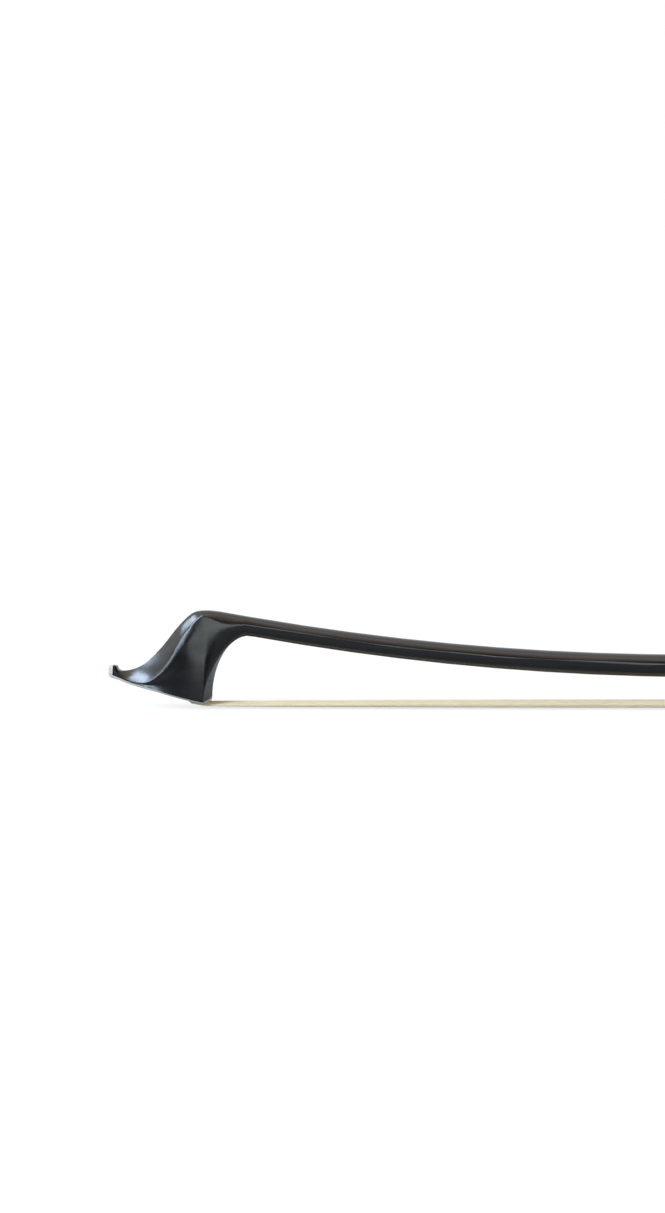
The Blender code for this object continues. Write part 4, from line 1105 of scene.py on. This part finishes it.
def make_hair():
    """All the hairs as one mesh, with a tone for each in an attribute."""
    rng = random.Random(HAIR_SEED)
    lines = []
    for index in range(HAIR_COUNT):
        jitter = rng.uniform(-PLACE_JITTER, PLACE_JITTER)
        place = -1 + 2 * (index + 0.5 + jitter) / HAIR_COUNT
        layer = (index % HAIR_LAYERS) / (HAIR_LAYERS - 1) * 2 - 1
        edge = math.sqrt(max(1 - EDGE_THINNING * place * place, 0.0))
        lines.append(lay_hair(place, (layer + rng.uniform(-LAYER_JITTER, LAYER_JITTER)) * edge, rng))
    made = tube_piece("horsehair", lines, HAIR_DIAMETER, FOUR_SIDES, HORSEHAIR)
    mesh = made.data
    per_hair = len(mesh.vertices) // HAIR_COUNT
    tones = [min(max(rng.gauss(TONE_MIDDLE, TONE_SPREAD), 0.0), 1.0) for _ in range(HAIR_COUNT)]
    values = [tones[min(index // per_hair, HAIR_COUNT - 1)] for index in range(len(mesh.vertices))]
    attribute = mesh.attributes.new("strand_tone", "FLOAT", "POINT")
    attribute.data.foreach_set("value", values)
    return made


hair = make_hair()
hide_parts("hair_ribbon")
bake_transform(hair)
print("hair", HAIR_COUNT, "strands,", len(hair.data.polygons), "faces")

# %% [markdown]
# What the eye sees, and what lights the bow
#
# The photograph is taken against pure white. White paint that is lit to white would flood the black bow
# with light, so floor and surroundings are white only for rays that come straight from the camera, and for
# a share of those that gloss or glass passes on. That share depends on the direction: gloss shows the white
# behind and above the bow, but on the camera's side the room is dim, because black satin stays black only
# if it has something dark to reflect.

# %% Helpers for floor and surroundings
WHITE = (1.0, 1.0, 1.0, 1.0)


def seen_directly(tree, mirrored_share):
    """One for rays of the camera, and a share for those that a mirror or glass passes on."""
    path = add_node(tree, "ShaderNodeLightPath")
    mirrored = add_node(
        tree,
        "ShaderNodeMath",
        {0: path.outputs["Is Glossy Ray"], 1: path.outputs["Is Transmission Ray"]},
        operation="MAXIMUM",
    )
    shared = add_node(
        tree,
        "ShaderNodeMath",
        {0: mirrored.outputs["Value"], 1: mirrored_share},
        operation="MULTIPLY",
    )
    either = add_node(
        tree,
        "ShaderNodeMath",
        {0: path.outputs["Is Camera Ray"], 1: shared.outputs["Value"]},
        operation="MAXIMUM",
    )
    return either.outputs["Value"]


def away_from(tree, place_or_direction, towards, dim_at, bright_at):
    """A share that rises from 0 to 1 as a direction or place turns away from a given one."""
    facing = add_node(
        tree,
        "ShaderNodeVectorMath",
        {0: place_or_direction, 1: towards},
        operation="DOT_PRODUCT",
    )
    share = add_node(
        tree,
        "ShaderNodeMapRange",
        {"Value": facing.outputs["Value"], "From Min": dim_at, "From Max": bright_at},
        interpolation_type="SMOOTHSTEP",
    )
    return share.outputs["Result"]


print("helpers for the surroundings ready")

# %% [markdown]
# Floor
#
# The bow lies over a plain matt card, seen nearly from the side. The card's own grey is lit by the lamps
# and takes the bow's shadow. On top of it comes as much glow as lifts it to white, a little less near the
# bow, so that the shadow stays visible there, and more far away.

# %% Floor
CARD_FIBRE_SIZE = (25.0, 25.0, 25.0)
FLOOR_REACH = 1.5
IN_FRONT = (0.0, -1.0, 0.0)
DIM_IN_GLOSS = -0.02
BRIGHT_IN_GLOSS = -0.15
GLOW_NEAR, GLOW_FAR = 0.78, 0.95
NEAR, FAR = 0.3, 1.3


def white_card():
    """Matt card: pale grey in its own light, and lifted to white where the camera sees it."""
    made, tree, shader = new_material("matt_white_card")
    fibres = add_node(
        tree,
        "ShaderNodeTexNoise",
        {"Vector": object_pattern(tree, CARD_FIBRE_SIZE), "Scale": 1.0, "Detail": 3.0},
    )
    colour = add_node(
        tree,
        "ShaderNodeValToRGB",
        {"Fac": fibres.outputs["Fac"]},
        stops=[(0.3, "#868685"), (0.7, "#8a8a89")],
    )
    where = add_node(tree, "ShaderNodeTexCoord").outputs["Object"]
    behind = away_from(tree, where, IN_FRONT, DIM_IN_GLOSS, BRIGHT_IN_GLOSS)
    reach = add_node(tree, "ShaderNodeVectorMath", {0: where}, operation="LENGTH")
    lift = add_node(
        tree,
        "ShaderNodeMapRange",
        {
            "Value": reach.outputs["Value"],
            "From Min": NEAR,
            "From Max": FAR,
            "To Min": GLOW_NEAR,
            "To Max": GLOW_FAR,
        },
    )
    seen = add_node(
        tree,
        "ShaderNodeMath",
        {0: seen_directly(tree, behind), 1: lift.outputs["Result"]},
        operation="MULTIPLY",
    )
    set_shader(
        tree,
        shader,
        Base_Color=colour.outputs["Color"],
        Roughness=0.9,
        Specular_IOR_Level=0.1,
        Emission_Color=WHITE,
        Emission_Strength=seen.outputs["Value"],
    )
    return made


floor_bm = bmesh.new()
bmesh.ops.create_grid(floor_bm, x_segments=1, y_segments=1, size=FLOOR_REACH)
floor_mesh = bpy.data.meshes.new("floor")
floor_bm.to_mesh(floor_mesh)
floor_bm.free()
floor_mesh.materials.append(white_card())
floor = bpy.data.objects.new("floor", floor_mesh)
bpy.context.scene.collection.objects.link(floor)
print("floor reaches", FLOOR_REACH, "m each way")

# %% [markdown]
# World
#
# The world is white to the eye and a soft light to everything else. What gloss finds there is white behind
# and above the bow, and nearly black on the camera's side.

# %% World
CAMERA_SIDE = (0.2, -0.9, -0.38)
DIM_WITHIN = 0.55
BRIGHT_BEYOND = -0.25
ROOM_LIGHT = 0.55
ROOM_LIGHT_IN_GLOSS = 0.05

world = bpy.data.worlds.new("white_surroundings")
world.use_nodes = True
bpy.context.scene.world = world
world_tree = world.node_tree
world_tree.nodes.clear()
direction = add_node(world_tree, "ShaderNodeTexCoord")
lit_side = away_from(world_tree, direction.outputs["Generated"], CAMERA_SIDE, DIM_WITHIN, BRIGHT_BEYOND)
room = add_node(world_tree, "ShaderNodeLightPath")
base_level = add_node(
    world_tree,
    "ShaderNodeMath",
    {0: room.outputs["Is Glossy Ray"], 1: ROOM_LIGHT_IN_GLOSS - ROOM_LIGHT, 2: ROOM_LIGHT},
    operation="MULTIPLY_ADD",
)
strength = add_node(
    world_tree,
    "ShaderNodeMath",
    {0: seen_directly(world_tree, lit_side), 1: base_level.outputs["Value"]},
    operation="MAXIMUM",
)
background = add_node(
    world_tree,
    "ShaderNodeBackground",
    {"Color": WHITE, "Strength": strength.outputs["Value"]},
)
add_node(world_tree, "ShaderNodeOutputWorld", {"Surface": background.outputs["Background"]})
print("world ready")

# %% [markdown]
# Lamps
#
# Black satin shows little but reflections, so each lamp stands where the head mirrors it into the camera.
# The bevel looks to the left and up: two panes of a cool window, with a lower one under them, draw its
# bright patches. The cheek looks forwards, to a pale wall low in front of the bow. A large warm light
# overhead runs along the top of the stick and warms the plate and the hair.

# %% Lamps
HEAD_PLACE = Vector((-0.32, 0.0, 0.02))
# Name, degrees round from the left towards the camera, degrees up, metres away, width and height,
# watts, colour
LAMPS = [
    ("window_left", 2, 36, 1.4, 0.24, 0.24, 3.2, "#cfe4fb"),
    ("window_right", 39, 40, 1.4, 0.46, 0.6, 12.5, "#cfe4fb"),
    ("window_sash", 45, 21, 1.4, 0.6, 0.34, 4.6, "#d0e2f4"),
    ("pale_wall", 83, 13, 1.5, 0.5, 0.37, 1.45, "#e3ecec"),
    ("overhead", 71, 60, 1.4, 1.3, 1.3, 2.0, "#ffc896"),
]


def add_lamp(name, round_from_left, up, distance, width, height, power, hex_colour):
    """A rectangular lamp that faces the head from a direction given by two angles."""
    turn, rise = math.radians(round_from_left), math.radians(up)
    towards = Vector((-math.cos(turn) * math.cos(rise), -math.sin(turn) * math.cos(rise), math.sin(rise)))
    lamp = bpy.data.lights.new(name, "AREA")
    lamp.shape = "RECTANGLE"
    lamp.size = width
    lamp.size_y = height
    lamp.energy = power
    lamp.color = linear_colour(hex_colour)[:3]
    holder = bpy.data.objects.new(name, lamp)
    holder.location = HEAD_PLACE + towards * distance
    holder.rotation_euler = (-towards).to_track_quat("-Z", "Y").to_euler()
    bpy.context.scene.collection.objects.link(holder)


for lamp_row in LAMPS:
    add_lamp(*lamp_row)
print("lamps", len(LAMPS))

# %% [markdown]
# Camera
#
# The photograph looks at the head almost square on, from slightly to the right and slightly above. A long
# lens gives its flat perspective. The frame is 314 mm tall at the bow, and the camera turns a little about
# its own axis, as the photograph's tilt asks.

# %% Camera
VIEW_AZIMUTH = math.radians(12.0)
VIEW_ELEVATION = math.radians(7.0)
VIEW_ROLL = math.radians(-1.72)
FOCAL_LENGTH = 135.0
SENSOR = 36.0
NEAREST_SEEN = 0.01
FRAME_HEIGHT = 314.0 * MM
FRAME_CENTRE = Vector((-312.6 * MM, 0.0, 26.35 * MM))

camera_data = bpy.data.cameras.new("photo_camera")
camera_data.lens = FOCAL_LENGTH
camera_data.sensor_width = SENSOR
camera_data.sensor_fit = "AUTO"
camera_data.clip_start = NEAREST_SEEN
camera = bpy.data.objects.new("photo_camera", camera_data)
bpy.context.scene.collection.objects.link(camera)
level_share = math.cos(VIEW_ELEVATION)
away = Vector(
    (
        math.sin(VIEW_AZIMUTH) * level_share,
        -math.cos(VIEW_AZIMUTH) * level_share,
        math.sin(VIEW_ELEVATION),
    )
)
camera.location = FRAME_CENTRE + away * FRAME_HEIGHT * FOCAL_LENGTH / SENSOR
level_view = (-away).to_track_quat("-Z", "Y").to_matrix()
camera.rotation_euler = (level_view @ Matrix.Rotation(VIEW_ROLL, 3, "Z")).to_euler()
bpy.context.scene.camera = camera
bpy.context.scene.view_settings.view_transform = "Standard"
print("camera", round((camera.location - FRAME_CENTRE).length, 3), "m away")
